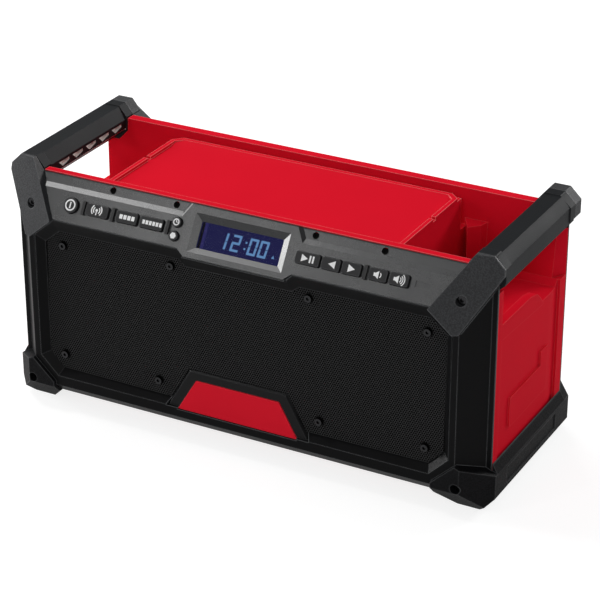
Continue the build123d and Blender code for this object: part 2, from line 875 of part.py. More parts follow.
def control_board():
    board = panel_block(-board_half, board_half, row_height - 9.0, row_height + 9.0,
                        board_out - 0.1 - board_thickness, board_out - 0.1)
    chip = panel_block(-12, 4, row_height - 4, row_height + 4, board_out - 3.4, board_out - 0.1 - board_thickness)
    socket = panel_block(20, 32, row_height - 3, row_height + 3, board_out - 7.0, board_out - 0.1 - board_thickness)
    return board + chip + socket


def panel_screws():
    made = []
    top = -strip_drop - panel_screw_well + 1.05
    half = small_screw_head / 4
    for x, side in panel_screw_points():
        head = panel_rod(small_screw_head, side * x, panel_screw_up, top - 1.0, top)
        shank = panel_rod(small_screw_shank, side * x, panel_screw_up, top - panel_screw_length, top - 0.5)
        socket = on_panel(Box(2 * half, 2 * half, 1.4), side * x, panel_screw_up, top)
        made.append(head + shank - socket)
    return made


# ---------------------------------------------------------------- speakers
def speaker_frame(side):
    x, z = side * speaker_spacing, speaker_height
    y0 = baffle_back + 0.1
    y1 = y0 + basket_flange_thickness
    y2 = y0 + basket_depth
    form = rod(basket_flange, x, z, y0, y1) + flare(speaker_hole + 4, basket_neck, x, z, y1, y2)
    inner = flare(speaker_hole, basket_neck - 2 * basket_wall, x, z, y1 - 0.01, y2 + 0.01)
    form = form - inner - rod(speaker_hole, x, z, y0 - 1, y1)
    for turn in (0, 90):
        slot = Box(2 * basket_flange, basket_depth - 9, slot_share * basket_flange)
        slot = Pos(x, (y1 + y2) / 2, z) * Rot(0, turn, 0) * slot
        form = form - slot
    form = form + rod(basket_neck, x, z, y2 - 1.5, y2) - rod(cone_neck, x, z, y2 - 3, y2 + 1)
    for bolt_x, bolt_z in speaker_bolts():
        form = form - rod(small_screw_shank + 0.2, bolt_x, bolt_z, y0 - 1, y1 + 1)
    return form


def speaker_cone(side):
    x, z = side * speaker_spacing, speaker_height
    y0 = baffle_back + 0.1
    lip = rod(speaker_hole - 0.6, x, z, y0, y0 + 2) - rod(speaker_hole - 10, x, z, y0 - 1, y0 + 3)
    outer = flare(speaker_hole - 9, cone_neck - 1, x, z, y0 + 1, y0 + 18)
    inner = flare(speaker_hole - 11.5, cone_neck - 4, x, z, y0 + 0.99, y0 + 16.5)
    cap = Pos(x, y0 + 15, z) * Sphere((cone_neck - 3) / 2)
    cap = cap & rod(cone_neck, x, z, y0 + 3, y0 + 17)
    return lip + (outer - inner) + cap + rod(cone_neck - 4, x, z, y0 + 16, y0 + basket_depth + 3)


def speaker_magnet(side):
    x, z = side * speaker_spacing, speaker_height
    y2 = baffle_back + 0.1 + basket_depth + 0.1
    form = rod(magnet_diameter, x, z, y2, y2 + magnet_thickness) + rod(magnet_diameter + magnet_rim, x, z, y2, y2 + 3)
    return form - rod(cone_neck, x, z, y2 - 1, y2 + 8)


def speaker_screws():
    y = baffle_back + 0.1 + basket_flange_thickness + head_height + 0.1
    return [screw(small_screw_head, small_screw_shank, 7, x, z, y, inward=-1) for x, z in speaker_bolts()]


# ---------------------------------------------------------------- red shell
def back_wall_cut():
    """Rear boundary of the tray's space, from above the wall down to the tray floor."""
    return [
        (tray_back + back_wall_lean * 20, rim_top + 20), (tray_back - back_wall_draft, tray_floor + back_wall_cove),
        (tray_back - back_wall_draft - back_wall_cove, tray_floor),
    ]


def main_shell():
    form = block(-side_x, side_x, shell_front, shell_back, body_bottom, rim_top)
    inner, foot = bar_inner - 0.4, bar_bottom - fit
    bar_room = front_prism([(inner, reach), (inner, foot + handle_chamfer), (inner + 8.0, foot), (reach, foot),
                            (reach, reach)], -reach, reach)
    form = form - bar_room - mirrored(bar_room)
    tray = side_prism([(tray_front, tray_floor), (tray_front, rim_top + 20)] + back_wall_cut(),
                      platform_half_width, side_x - lip_width)
    form = form - tray - mirrored(tray)
    channel = side_prism([
        (platform_back, channel_floor), (platform_back, rim_top + 20), (tray_back + back_wall_lean * 20, rim_top + 20),
        (tray_back - back_wall_lean * channel_depth, channel_floor),
    ], -platform_half_width - 0.01, platform_half_width + 0.01)
    form = form - channel
    form = form - block(-platform_half_width - 1, platform_half_width + 1, tray_front, platform_back + 0.01,
                        platform_top, reach)
    opening = side_prism([(shell_front + front_strip, lip_top), (shell_front + front_strip, rim_top + 20)]
                         + back_wall_cut() + [
        (lip_end, tray_floor), (lip_end - lip_end_slope / 2, tray_floor + lip_height * 0.4),
        (lip_end - lip_end_slope, tray_floor + lip_height * 0.75), (lip_end - 2 * lip_end_slope, lip_top - 0.8),
    ], side_x - lip_width - 0.01, side_x + 5)
    form = form - opening - mirrored(opening)
    hollow = block(-side_x + side_wall, side_x - side_wall, tray_front, tray_back - back_wall_draft,
                   body_bottom + wall, tray_floor - wall)
    loft = block(-platform_half_width + wall, platform_half_width - wall, tray_front, platform_back - wall,
                 tray_floor - wall - 1, platform_top - wall)
    under = block(-platform_half_width + wall, platform_half_width - wall, platform_back - wall - 1,
                  tray_back - back_wall_draft, tray_floor - wall - 1, channel_floor - wall)
    form = form - hollow - loft - under
    form = form - block(-rim_x + 12, rim_x - 12, shell_front - 1, tray_front + 1, body_bottom + wall + 4,
                        tray_floor - wall)
    form = form - block(-platform_half_width + wall, platform_half_width - wall, shell_front - 1, tray_front + 1,
                        tray_floor - wall - 1, panel_foot + 14)
    form = form - block(-bay_half_width - wall - 1.5, bay_half_width + wall + 1.5, tray_back - back_wall_draft - 1,
                        shell_back + 1, bay_bottom - wall - 1.5, bay_top + wall + 1.5)
    port_half = (port_width / 2 - 2, port_height / 2 - 1.5)
    inlet_half = (inlet_diameter - 2, inlet_diameter - 2)
    for x, z, (half, tall) in ((port_centre_x, port_centre_z, port_half), (inlet_x, inlet_z, inlet_half)):
        form = form - block(x - half, x + half, tray_back - back_wall_draft - 1, shell_back + 1, z - tall, z + tall)
    post = corner_post()
    form = form + post + mirrored(post)
    form = form + platform_bead()
    form = form - side_relief()
    form = form + side_pad()
    for x, z in rail_screw_points():
        form = form + rod(boss_diameter, x, z, shell_front, tray_front + 8)
        form = form + rod(boss_diameter, x, z, tray_back - back_wall_draft - 6, shell_back)
        form = form - rod(case_screw_hole, x, z, shell_front - 1, tray_front + 7)
        form = form - rod(case_screw_hole, x, z, tray_back - back_wall_draft - 5, shell_back + 1)
    for side in (-1, 1):
        x = side * (half_width - handle_screw_from_side)
        form = form - rod(case_screw_hole, x, handle_screw_height, shell_front - 1, tray_front - 0.8)
        form = form - rod(case_screw_hole, x, handle_screw_height, tray_back + 1, shell_back + 1)
        for px, pz in rear_screw_places:
            form = form - rod(case_screw_hole, side * px, pz, shell_back - 6.5, shell_back + 1)
    for x, side in panel_screw_points():
        form = form - panel_rod(small_screw_shank + 0.3, side * x, panel_screw_up, -panel_screw_length - 3.5, 0)
    for x, y in board_posts():
        low = body_bottom + wall
        form = form + Pos(x, y, (low + board_top_level) / 2 - 0.05) * Cylinder(3.5, board_top_level - low + 0.1)
        form = form - Pos(x, y, board_top_level - 2) * Cylinder(1.5, 8)
    return form


def corner_post():
    """Gusset that stands against the back wall at the platform's corner."""
    near = platform_half_width - post_offset
    far = near + post_width
    plan = [
        (near, tray_back + 1), (near + 0.45 * post_width, tray_back - post_reach),
        (far - 3.0, tray_back - 0.55 * post_reach), (far, tray_back - 1), (far, tray_back + 1),
    ]
    top = side_prism([
        (tray_back - post_reach - 1, tray_floor - 1), (tray_back - post_reach - 1, post_top - post_fall),
        (tray_back + 1, post_top), (tray_back + 1, tray_floor - 1),
    ], near - 1, far + 1)
    return plan_prism(plan, tray_floor - 1, post_top + 1) & top


def rail_screw_points():
    x = half_width - rail_screw_from_side
    return [(-x, rail_screw_height), (x, rail_screw_height)]


def platform_bead():
    """Raised edge round three sides of the tray's platform."""
    def outline(inset):
        half = platform_half_width - inset
        back = platform_back - inset
        cut = platform_corner - inset * 0.4
        return [
            (-half, tray_front - 1), (half, tray_front - 1), (half, back - cut),
            (half - cut, back), (-half + cut, back), (-half, back - cut),
        ]

    bead = plan_prism(outline(0), platform_top - 0.1, platform_top + bead_height)
    ramp_start, ramp_end = platform_back - bead_rear_flat - bead_ramp, platform_back - bead_rear_flat
    ramp = side_prism([
        (ramp_start, platform_top - 0.1), (ramp_start, platform_top), (ramp_end, platform_top + bead_height),
        (platform_back, platform_top + bead_height), (platform_back, platform_top - 0.1),
    ], -platform_half_width, platform_half_width)
    whole = bead
    bead = bead - plan_prism(outline(bead_width), platform_top - 1, platform_top + 5)
    bead = bead + (ramp & whole)
    gap = pair(platform_half_width - 6, platform_half_width + 2, -9, -5, platform_top + 0.01, platform_top + 5)
    return bead - gap - block(-200, 200, -200, tray_front, 0, 300)


def side_relief():
    """Set-back side panel round its stepped pad, the rear groove and the back wall's slanted end."""
    strip_end = shell_front + front_strip
    band_foot = lip_top - lip_band
    panel = side_prism([
        (strip_end + 0.8, body_bottom + 1), (strip_end + 0.8, band_foot), (lip_end, band_foot - lip_drop),
        (lip_end, tray_floor + 1), (groove_wall - 0.5, tray_floor + 1), (groove_wall - 0.5, body_bottom + 1),
    ], side_x - panel_sink, side_x + 5)
    groove = plan_prism([
        (side_x + 5, groove_start), (side_x - panel_sink, groove_start),
        (side_x - 0.6 * groove_sink, groove_start + 8), (side_x - groove_sink, groove_wall - 4),
        (side_x - groove_sink, groove_wall), (side_x + 5, groove_wall),
    ], body_bottom + 3, tray_floor + back_wall_cove)
    end = plan_prism([
        (side_x - wall_end_set, tray_back - back_wall_draft - 0.2), (side_x + 0.3, shell_back + 0.5),
        (side_x + 5, shell_back + 0.5), (side_x + 5, tray_back - back_wall_draft - 0.2),
    ], tray_floor + back_wall_cove, bar_bottom)
    cut = panel + groove + end
    return cut + mirrored(cut)


def side_pad():
    """Stepped pad that stands out of both side panels."""
    near, far = shell_front + front_strip + pad_front_gap, groove_start - pad_rear_gap
    rise = lip_top - lip_band - rail_ledge_top
    low, high = rail_ledge_top + pad_foot_share * rise, rail_ledge_top + pad_top_share * rise
    step = pad_step_share * rise
    pad = side_prism([
        (near, low), (near, high - step), (far - pad_tab, high - step),
        (far - pad_tab, high), (far, high), (far, low),
    ], side_x - panel_sink - 0.5, side_x - panel_sink + pad_rise)
    return pad + mirrored(pad)


# ---------------------------------------------------------------- handles
def bar_outline(inset):
    """Eight-sided section of the right handle bar."""
    outer = half_width - inset
    inner = bar_inner + inset
    top = overall_height - inset
    bottom = bar_bottom + inset
    cut = handle_chamfer
    return [
        (inner + 6.7, top), (outer - handle_flat_from_side, top), (outer, top - cut), (outer, bottom + cut),
        (outer - 7.0, bottom), (inner + 8.0, bottom), (inner, bottom + cut), (inner, top - cut),
    ]


def grip_outline():
    """Eight-sided section of the right handle bar between its two collars."""
    outer = half_width - grip_inset
    inner = bar_inner + grip_inset
    top = overall_height - grip_inset
    return [
        (bar_inner + 6.7, top), (half_width - handle_flat_from_side + grip_edge_ease, top),
        (outer, overall_height - handle_chamfer), (outer, bar_bottom + grip_outer_rise),
        (outer - 7.0, bar_bottom + 0.4), (inner + 11.2, bar_bottom + 0.4),
        (inner, bar_bottom + grip_inner_rise), (inner, overall_height - grip_inner_drop),
    ]


def finger_recess(y, length):
    """One hollow for a fingertip in the inner face of the right bar."""
    face = bar_inner - 1
    top = overall_height - grip_inner_drop - 2.1
    low = bar_bottom + grip_inner_rise
    return prism([
        (face, y, top), (face, y + length, top), (face, y + length, low + 2.8), (face, y + 0.36 * length, low + 0.5),
    ], (grip_inset + 1 + finger_pocket_depth, 0, 0))


def handle_bar():
    y0 = shell_front
    y1 = shell_back
    form = front_prism(grip_outline(), y0, y1)
    form = form + front_prism(bar_outline(0), y0, y0 + collar_length)
    form = form + front_prism(bar_outline(0), y1 - collar_length, y1)
    pitch = (y1 - y0 - 2 * collar_length - finger_end_room) / finger_pockets
    start = y0 + collar_length + first_pocket_gap
    for i in range(finger_pockets):
        form = form - finger_recess(start + i * pitch, pitch - finger_rib)
    return form


def plate_face_cut():
    """Everything in front of the handle plate's leaning face."""
    origin = Vector(0, plate_lean_start, 0)
    normal = Vector(-plate_lean_x, 1, -plate_lean_z).normalized() * -1
    return Plane(origin=origin, z_dir=normal) * Pos(0, 0, reach / 2) * Box(3 * reach, 3 * reach, reach)


def handle_front_plate():
    form = front_prism(plate_outline, -half_depth, shell_front - fit)
    form = form - plate_face_cut()
    x0, z0 = plate_outline[0]
    top = (half_width - handle_flat_from_side, overall_height)
    a = Vector(x0, plate_lean_start + plate_lean_x * x0 + plate_lean_z * z0, z0)
    b = Vector(top[0], plate_lean_start + plate_lean_x * top[0] + plate_lean_z * top[1], top[1])
    c = Vector(handle_top_inner - 4, 0, overall_height)
    c = Vector(c.X, plate_lean_start + plate_lean_x * c.X + plate_lean_z * c.Z + plate_fold_drop, c.Z)
    normal = (b - a).cross(c - a).normalized()
    if normal.Y > 0:
        normal = normal * -1
    facet = Plane(origin=a, z_dir=normal) * Pos(0, 0, reach / 2) * Box(3 * reach, 3 * reach, reach)
    form = form - facet
    x = half_width - handle_screw_from_side
    y = plate_lean_start + plate_lean_x * x + plate_lean_z * handle_screw_height
    form = form - rod(case_screw_head + 0.6, x, handle_screw_height, y - 10, y + head_height + 2.0)
    form = form - rod(case_screw_hole, x, handle_screw_height, y - 10, shell_front + 1)
    return form


def handle_rear_plate():
    form = turned_back(handle_front_plate())
    fill = front_prism(plate_outline, shell_back + fit, -shell_front + fit + 0.01)
    stub = front_prism(bar_outline(0), shell_back + fit, shell_back + rear_stub)
    nose = chamfer(stub.faces().sort_by(Axis.Y)[-1].edges(), rear_stub_chamfer)
    hole = rod(case_screw_hole, half_width - handle_screw_from_side, handle_screw_height, 0, reach)
    well = rod(case_screw_head + 0.6, half_width - handle_screw_from_side, handle_screw_height,
               handle_screw_head_y() - 0.001, reach)
    return form + fill + nose - hole - well


def handle_screw_head_y():
    """Y of the rear handle screw's seat."""
    x = half_width - handle_screw_from_side
    y = plate_lean_start + plate_lean_x * x + plate_lean_z * handle_screw_height
    return -(y + head_height + 2.0)


def handle_screws():
    made = []
    x = half_width - handle_screw_from_side
    y = plate_lean_start + plate_lean_x * x + plate_lean_z * handle_screw_height + 2.0
    for side in (-1, 1):
        made.append(screw(case_screw_head, case_screw_shank, tray_front - 1 - y, side * x, handle_screw_height, y))
        made.append(screw(case_screw_head, case_screw_shank, -y - tray_back - 1.2, side * x, handle_screw_height, -y,
                          inward=-1))
    return made


# ---------------------------------------------------------------- base rails
def base_rail():
    ends = half_depth - rail_plate_inset
    form = front_prism(rail_section, shell_front - fit, shell_back + fit)
    for y0, y1 in ((-ends, shell_front - fit), (shell_back + fit, ends)):
        form = form + front_prism(rail_plate_outline, y0, y1)
    for way in (-1, 1):
        corner = plan_prism([
            (half_width - rail_corner, way * (ends + 0.01)), (half_width + 1, way * (ends + 0.01)),
            (half_width + 1, way * (ends - rail_corner - 1)),
        ], -1, rail_plate_top + 5)
        under = side_prism([
            (way * (ends + 0.01), -1), (way * (ends + 0.01), rail_corner), (way * (ends - rail_corner - 1), -1),
        ], 0, half_width + 1)
        form = form - corner - under
    x = half_width - rail_screw_from_side
    for way in (-1, 1):
        form = form - rod(case_screw_head + 0.8, x, rail_screw_height, way * (ends + 1), way * (ends - 7.5))
        form = form - rod(case_screw_hole, x, rail_screw_height, way * (ends + 1), way * 50)
    form = form - block(half_width - rail_recess, half_width + 1, shell_front + rail_band, shell_back - rail_band,
                        rail_side_bottom + 3, rail_side_top - 3)
    for way in (-1, 1):
        form = form - pad_block(way, fit, pad_recess)
    return form


def pad_block(way, gap, top):
    """A grip pad under one end of a rail."""
    x = half_width - (rail_flat_inner + rail_flat_outer) / 2
    far = way * (half_depth - rail_corner - rail_plate_inset - pad_end_gap + gap)
    near = way * (pad_end_gap - gap)
    return block(x - pad_width / 2 - gap, x + pad_width / 2 + gap, near, far, -1 if gap else 0, top)


def rail_pads():
    made = []
    for way in (-1, 1):
        pad = pad_block(way, 0, pad_recess - 0.05)
        made += [pad, mirrored(pad)]
    return made


def rail_screws():
    made = []
    ends = half_depth - rail_plate_inset
    for x, z in rail_screw_points():
        made.append(screw(case_screw_head, case_screw_shank, tray_front + 6 + ends - 5.5, x, z, -ends + 5.5))
        made.append(screw(case_screw_head, case_screw_shank, ends - 5.5 - tray_back + back_wall_draft + 4, x, z,
                          ends - 5.5, inward=-1))
    return made


# ---------------------------------------------------------------- rear housing
def bay_box(gap, depth):
    """Space of the battery bay, grown by a gap on its four sides and made as deep as asked."""
    return block(-bay_half_width - gap, bay_half_width + gap, back_y - depth, back_y + 0.01,
                 bay_bottom - gap, bay_top + gap)


def port_box(gap, depth):
    """Space of the connector well, grown by a gap on its four sides and made as deep as asked."""
    return block(port_centre_x - port_width / 2 - gap, port_centre_x + port_width / 2 + gap, back_y - depth,
                 back_y + 0.01, port_centre_z - port_height / 2 - gap, port_centre_z + port_height / 2 + gap)


def battery_bay():
    form = bay_box(wall, bay_depth + wall) - bay_box(0, bay_depth) - block(-reach, reach, back_y, reach, 0, reach)
    for side in (-1, 1):
        form = form + block(side * (bay_half_width + 0.5), side * (bay_half_width - bay_rail_width),
                            back_y - bay_rail_back - bay_rail_thickness, back_y - bay_rail_back,
                            bay_bottom - 0.5, bay_top - bay_rail_mouth)
    return form


def port_well():
    form = port_box(port_wall, port_depth + wall) - port_box(0, port_depth)
    form = form - block(-reach, reach, back_y, reach, 0, reach)
    form = form - block(port_centre_x - port_width / 2 + 8, port_centre_x + port_width / 2 - 8,
                        back_y - port_depth - wall - 1, back_y, port_centre_z - 6, port_centre_z + 8)
    return form - hinge_rod(flap_pin_diameter + 0.1, port_width / 2 + port_wall + 5)


def rear_housing():
    form = plan_prism(body_plan_back, body_bottom, rear_top_front)
    form = form - side_prism([
        (shell_back - 1, rear_top_front + 2), (shell_back + 2, rear_top_front),
        (back_y + 1, rear_top_back), (back_y + 1, rear_top_front + 2),
    ], -reach, reach)
    form = form - side_prism([
        (back_y + 1, body_bottom - 1), (back_y + 1, body_bottom + bottom_bevel + 1),
        (back_y - bottom_bevel, body_bottom), (back_y - bottom_bevel, body_bottom - 1),
    ], -reach, reach)
    form = form - side_prism([
        (shell_back - 1, body_bottom + wall), (shell_back - 1, rear_top_front - 8), (shell_back + 3, rear_top_front - 8),
        (back_y - wall, rear_top_back - 5), (back_y - wall, body_bottom + bottom_bevel + 2),
        (back_y - wall - bottom_bevel, body_bottom + wall),
    ], -rim_x + 8, rim_x - 8)
    form = form - bay_box(wall + fit, 60) - port_box(port_wall + fit, 60)
    form = form - hinge_rod(flap_pin_diameter + 2 * hinge_clearance, port_width / 2 + port_wall + 1.0)
    form = form + rod(inlet_diameter + 8, inlet_x, inlet_z, back_y - 14, back_y - 1)
    form = form - rod(inlet_diameter, inlet_x, inlet_z, back_y - 20, back_y + 1)
    for x, z in rear_screw_places:
        for side in (-1, 1):
            form = form + rod(boss_diameter, side * x, z, shell_back + fit / 2, back_y - 1)
            form = form - rod(case_screw_head + 0.6, side * x, z, back_y - 4, back_y + 2)
            form = form - rod(case_screw_hole, side * x, z, shell_back - 1, back_y)
    for outline in (plate_outline, rail_plate_outline):
        cut = grown_prism(outline, fit, shell_back - 1, back_y + 20)
        form = form - cut - mirrored(cut)
    stub = grown_prism(bar_outline(0), fit, shell_back - 1, shell_back + rear_stub + fit)
    return form - stub - mirrored(stub)


def hinge_place():
    """Y and Z of the flap's hinge pin."""
    return back_y - flap_thickness / 2 - 0.6, port_centre_z - port_height / 2 + flap_barrel_diameter / 2 + 1.2


def hinge_rod(diameter, half_length):
    y, z = hinge_place()
    return Pos(port_centre_x, y, z) * Rot(0, 90, 0) * Cylinder(diameter / 2, 2 * half_length)


def port_flap():
    y, z = hinge_place()
    half = port_width / 2 - key_gap - 0.1
    top = port_centre_z + port_height / 2 - key_gap - 0.1
    form = block(port_centre_x - half, port_centre_x + half, back_y - flap_thickness, back_y, z, top)
    form = form + block(port_centre_x - 6, port_centre_x + 6, back_y - 0.5, back_y + 1.2, top - 5, top - 2)
    form = form + hinge_rod(flap_barrel_diameter, half)
    return form - hinge_rod(flap_pin_diameter + 2 * hinge_clearance, half + 1)


def port_board():
    y = back_y - port_depth - wall - 0.2
    x, z = port_centre_x, port_centre_z
    half, tall = port_width / 2 - 3, port_height / 2 - 3.5
    board = block(x - half, x + half, y - board_thickness, y, z - tall, z + tall)
    usb = block(x - 12.5, x + 1.5, y, y + wall + 1.5, z - 2, z + 4)
    usb = usb - block(x - 11.8, x + 0.8, y + 1, y + 9, z - 1.3, z + 3.3)
    jack = rod(7.5, x + 9, z + 1, y, y + wall + 2) - rod(3.6, x + 9, z + 1, y + 1, y + 9)
    return board + usb + jack


def dc_inlet():
    form = rod(inlet_diameter - 2 * fit, inlet_x, inlet_z, back_y - 18, back_y - 1.2)
    form = form - rod(inlet_hole, inlet_x, inlet_z, back_y - 12, back_y)
    return form + rod(inlet_pin, inlet_x, inlet_z, back_y - 13, back_y - 3)


def battery_terminals():
    y = back_y - bay_depth
    low = (bay_bottom + bay_top - terminal_height) / 2 - terminal_below_middle
    high = low + terminal_height
    half = blade_thickness / 2
    tip = y + terminal_depth + blade_reach
    form = block(-terminal_half_width, terminal_half_width, y + 0.1, y + terminal_depth, low, high)
    for x in blade_places:
        form = form + block(x - half, x + half, y + terminal_depth - 0.5, tip, low + 4, high - 4)
    return form


def rear_screws():
    made = []
    for x, z in rear_screw_places:
        for side in (-1, 1):
            made.append(screw(case_screw_head, case_screw_shank, back_y - 2 - shell_back + 5.5, side * x, z, back_y - 2,
                              inward=-1))
    return made


# ---------------------------------------------------------------- inside
def board_posts():
    across, along = board_post_inset
    half = board_half_width - across
    return [(x, y) for x in (-half, half) for y in (board_front + along, board_back - along)]


def main_board():
    z = board_top_level + 0.1
    form = block(-board_half_width, board_half_width, board_front, board_back, z, z + board_thickness)
    for x, y in board_posts():
        form = form - Pos(x, y, z) * Cylinder(1.6, 10)
    for x0, x1, y0, y1, tall in ((-50, -30, -20, 0, 2.2), (-20, -8, 6, 18, 3.0), (40, 58, -18, 6, 12.0)):
        form = form + block(x0, x1, y0, y1, z + 1, z + board_thickness + tall)
    for x in (-45, -32, 50):
        form = form + Pos(x, 15, z + 9) * Cylinder(5, 15)
    return form


def heat_sink():
    z = board_top_level + board_thickness + 0.2
    form = block(2, 32, -22, 10, z, z + 4)
    for i in range(sink_fins):
        x = 2 + i * sink_pitch
        form = form + block(x, x + 2, -22, 10, z + 3.5, z + 20)
    return form


def board_screws():
    made = []
    for x, y in board_posts():
        top = board_top_level + board_thickness + 0.2
        head = Pos(x, y, top + 0.9) * Cylinder(2.6, 1.8)
        shank = Pos(x, y, top - 2) * Cylinder(1.4, 6)
        made.append(head + shank)
    return made


# ---------------------------------------------------------------- every node
save("front_housing", front_housing())
save("speaker_grille", speaker_grille())
save("grille_screws", *grille_screws())
save("badge_frame", badge_frame())
save("badge_plate", badge_plate())
save("control_panel", control_panel())
save("display_lens", display_lens())
save("lcd_module", lcd_module())
for button_name, button in buttons().items():
    save(button_name, button)
save("keypad_membrane", *keypad_membrane())
save("control_board", control_board())
save("panel_screws", *panel_screws())
for side_name, side_sign in (("left", -1), ("right", 1)):
    save(f"{side_name}_speaker_frame", speaker_frame(side_sign))
    save(f"{side_name}_speaker_cone", speaker_cone(side_sign))
    save(f"{side_name}_speaker_magnet", speaker_magnet(side_sign))
save("speaker_screws", *speaker_screws())
save("main_shell", main_shell())
save("rear_housing", rear_housing())
save("rear_housing_screws", *rear_screws())
save("port_flap", port_flap())
save("battery_bay", battery_bay())
save("port_well", port_well())
save("flap_pin", hinge_rod(flap_pin_diameter, port_width / 2 + port_wall))
save("port_board", port_board())
save("dc_inlet", dc_inlet())
save("battery_terminals", battery_terminals())
save("main_board", main_board())
save("heat_sink", heat_sink())
save("main_board_screws", *board_screws())
right_bar = handle_bar()
right_front = handle_front_plate()
right_rear = handle_rear_plate()
right_rail = base_rail()
save("right_handle_bar", right_bar)
save("left_handle_bar", mirrored(right_bar))
save("right_handle_front_plate", right_front)
save("left_handle_front_plate", mirrored(right_front))
save("right_handle_rear_plate", right_rear)
save("left_handle_rear_plate", mirrored(right_rear))
save("handle_screws", *handle_screws())
save("right_base_rail", right_rail)
save("left_base_rail", mirrored(right_rail))
save("rail_screws", *rail_screws())
save("rail_pads", *rail_pads())
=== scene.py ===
import json
from math import cos, radians, sin

import bmesh
import bpy
from mathutils import Euler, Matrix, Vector


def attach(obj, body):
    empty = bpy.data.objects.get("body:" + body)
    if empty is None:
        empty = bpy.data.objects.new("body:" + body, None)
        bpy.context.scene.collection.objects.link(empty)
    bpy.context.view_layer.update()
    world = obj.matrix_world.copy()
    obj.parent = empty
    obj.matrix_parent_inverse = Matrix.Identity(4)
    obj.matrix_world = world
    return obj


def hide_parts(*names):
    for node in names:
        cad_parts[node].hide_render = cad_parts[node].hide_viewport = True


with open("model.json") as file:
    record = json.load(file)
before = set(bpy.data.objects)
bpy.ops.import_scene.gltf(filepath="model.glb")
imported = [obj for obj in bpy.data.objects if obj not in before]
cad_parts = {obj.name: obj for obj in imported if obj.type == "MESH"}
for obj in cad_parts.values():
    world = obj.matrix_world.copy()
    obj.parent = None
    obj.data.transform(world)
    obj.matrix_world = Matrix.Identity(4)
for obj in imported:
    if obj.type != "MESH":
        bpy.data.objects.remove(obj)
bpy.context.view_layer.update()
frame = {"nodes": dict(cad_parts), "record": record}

MM = 0.001
BODY = "radio_body"
scene = bpy.context.scene
scene.view_settings.view_transform = "Standard"

# The sloped control panel in millimetres: its lower edge, its slope from the level, and its keys and screen.
PANEL_EDGE_Y, PANEL_EDGE_Z = -86.0, 160.6
PANEL_SLOPE = radians(57.8)
KEY_ROW = 14.3  # middle of the keys, up the slope
KEY_TOP = 2.4  # faces of the keys, out from the slope
SCREEN_FACE = -4.27  # face of the display module behind its window

# The grille's screws: distance from the radio's middle, and height.
GRILLE_SCREWS = ((152.0, 47.3), (151.0, 138.0), (67.7, 46.6), (57.1, 142.2))

RED = (0.62, 0.007, 0.020)
BADGE_RED = (0.66, 0.009, 0.024)
BLACK = (0.007, 0.007, 0.0075)
CASE_BLACK = (0.005, 0.005, 0.0054)
RAIL_BLACK = (0.0075, 0.0075, 0.0085)
HANDLE_GREY = (0.030, 0.031, 0.034)
CHARCOAL = (0.020, 0.021, 0.022)
# Black for the panel's ribs and seam, and painted shade in its screw wells.
RIB_BLACK_AND_WELL_SHADE = (0.004, 0.004, 0.0045, 1.0)
# Black for painted shade in the grille's holes and round its screws.
HOLE_AND_RING_SHADE = (0.001, 0.001, 0.001, 1.0)
# Grey for paler edges: partly worn, partly a painted highlight standing in for light the edges catch.
WORN_AND_SHEEN_GREY = (0.16, 0.165, 0.17, 1.0)
# Pale grey for the painted highlight on the ridge left of the display.
PAINTED_HIGHLIGHT_GREY = (0.26, 0.26, 0.26, 1.0)
# Pale pink for the painted highlight along the red plastic's edges.
PAINTED_HIGHLIGHT_RED = (1.0, 0.30, 0.30, 1.0)
# Pale grey painted into the finger hollows, standing in for the light they catch.
PAINTED_LIGHT_GREY = (0.78, 0.78, 0.75, 1.0)
LEGEND_GREY = (0.78, 0.78, 0.78, 1.0)
SCREEN_BLACK = (0.003, 0.003, 0.006, 1.0)


# ---------------------------------------------------------------- camera
def set_camera():
    """A long lens in front of the radio, to its right and above it."""
    lens = bpy.data.cameras.new("studio_camera")
    lens.sensor_width = 36.0
    lens.lens = 136.2
    lens.shift_x = -0.0017
    lens.shift_y = -0.0022
    lens.clip_end = 20.0
    camera = bpy.data.objects.new("studio_camera", lens)
    camera.location = (0.7341, -1.3565, 0.8539)
    camera.rotation_euler = Euler((radians(63.789), 0.0, radians(28.121)))
    scene.collection.objects.link(camera)
    scene.camera = camera


# ---------------------------------------------------------------- shader arithmetic
class Signal:
    """The output of a shader node, usable in arithmetic."""

    def __init__(self, finish, socket):
        self.finish = finish
        self.socket = socket

    def maths(self, operation, *others):
        inputs = dict(enumerate((self,) + others))
        return self.finish.node("ShaderNodeMath", {"operation": operation}, inputs)

    def __add__(self, other):
        return self.maths("ADD", other)

    __radd__ = __add__

    def __mul__(self, other):
        return self.maths("MULTIPLY", other)

    __rmul__ = __mul__

    def __sub__(self, other):
        return self.maths("SUBTRACT", other)

    def __rsub__(self, other):
        return (self * -1.0) + other

    def limit(self):
        """The same signal kept between 0 and 1."""
        self.socket.node.use_clamp = True
        return self

    def past(self, start_mm, fade_mm):
        """0 up to a distance, then 1 beyond a short fade."""
        return ((self - start_mm * MM) * (1.0 / (fade_mm * MM))).limit()

    def short_of(self, end_mm, fade_mm):
        """1, then a short fade that reaches 0 at a distance."""
        return ((end_mm * MM - self) * (1.0 / (fade_mm * MM))).limit()

    def between(self, start_mm, end_mm, fade_mm):
        """1 between two distances, with a short fade inside each."""
        return self.past(start_mm, fade_mm) * self.short_of(end_mm, fade_mm)


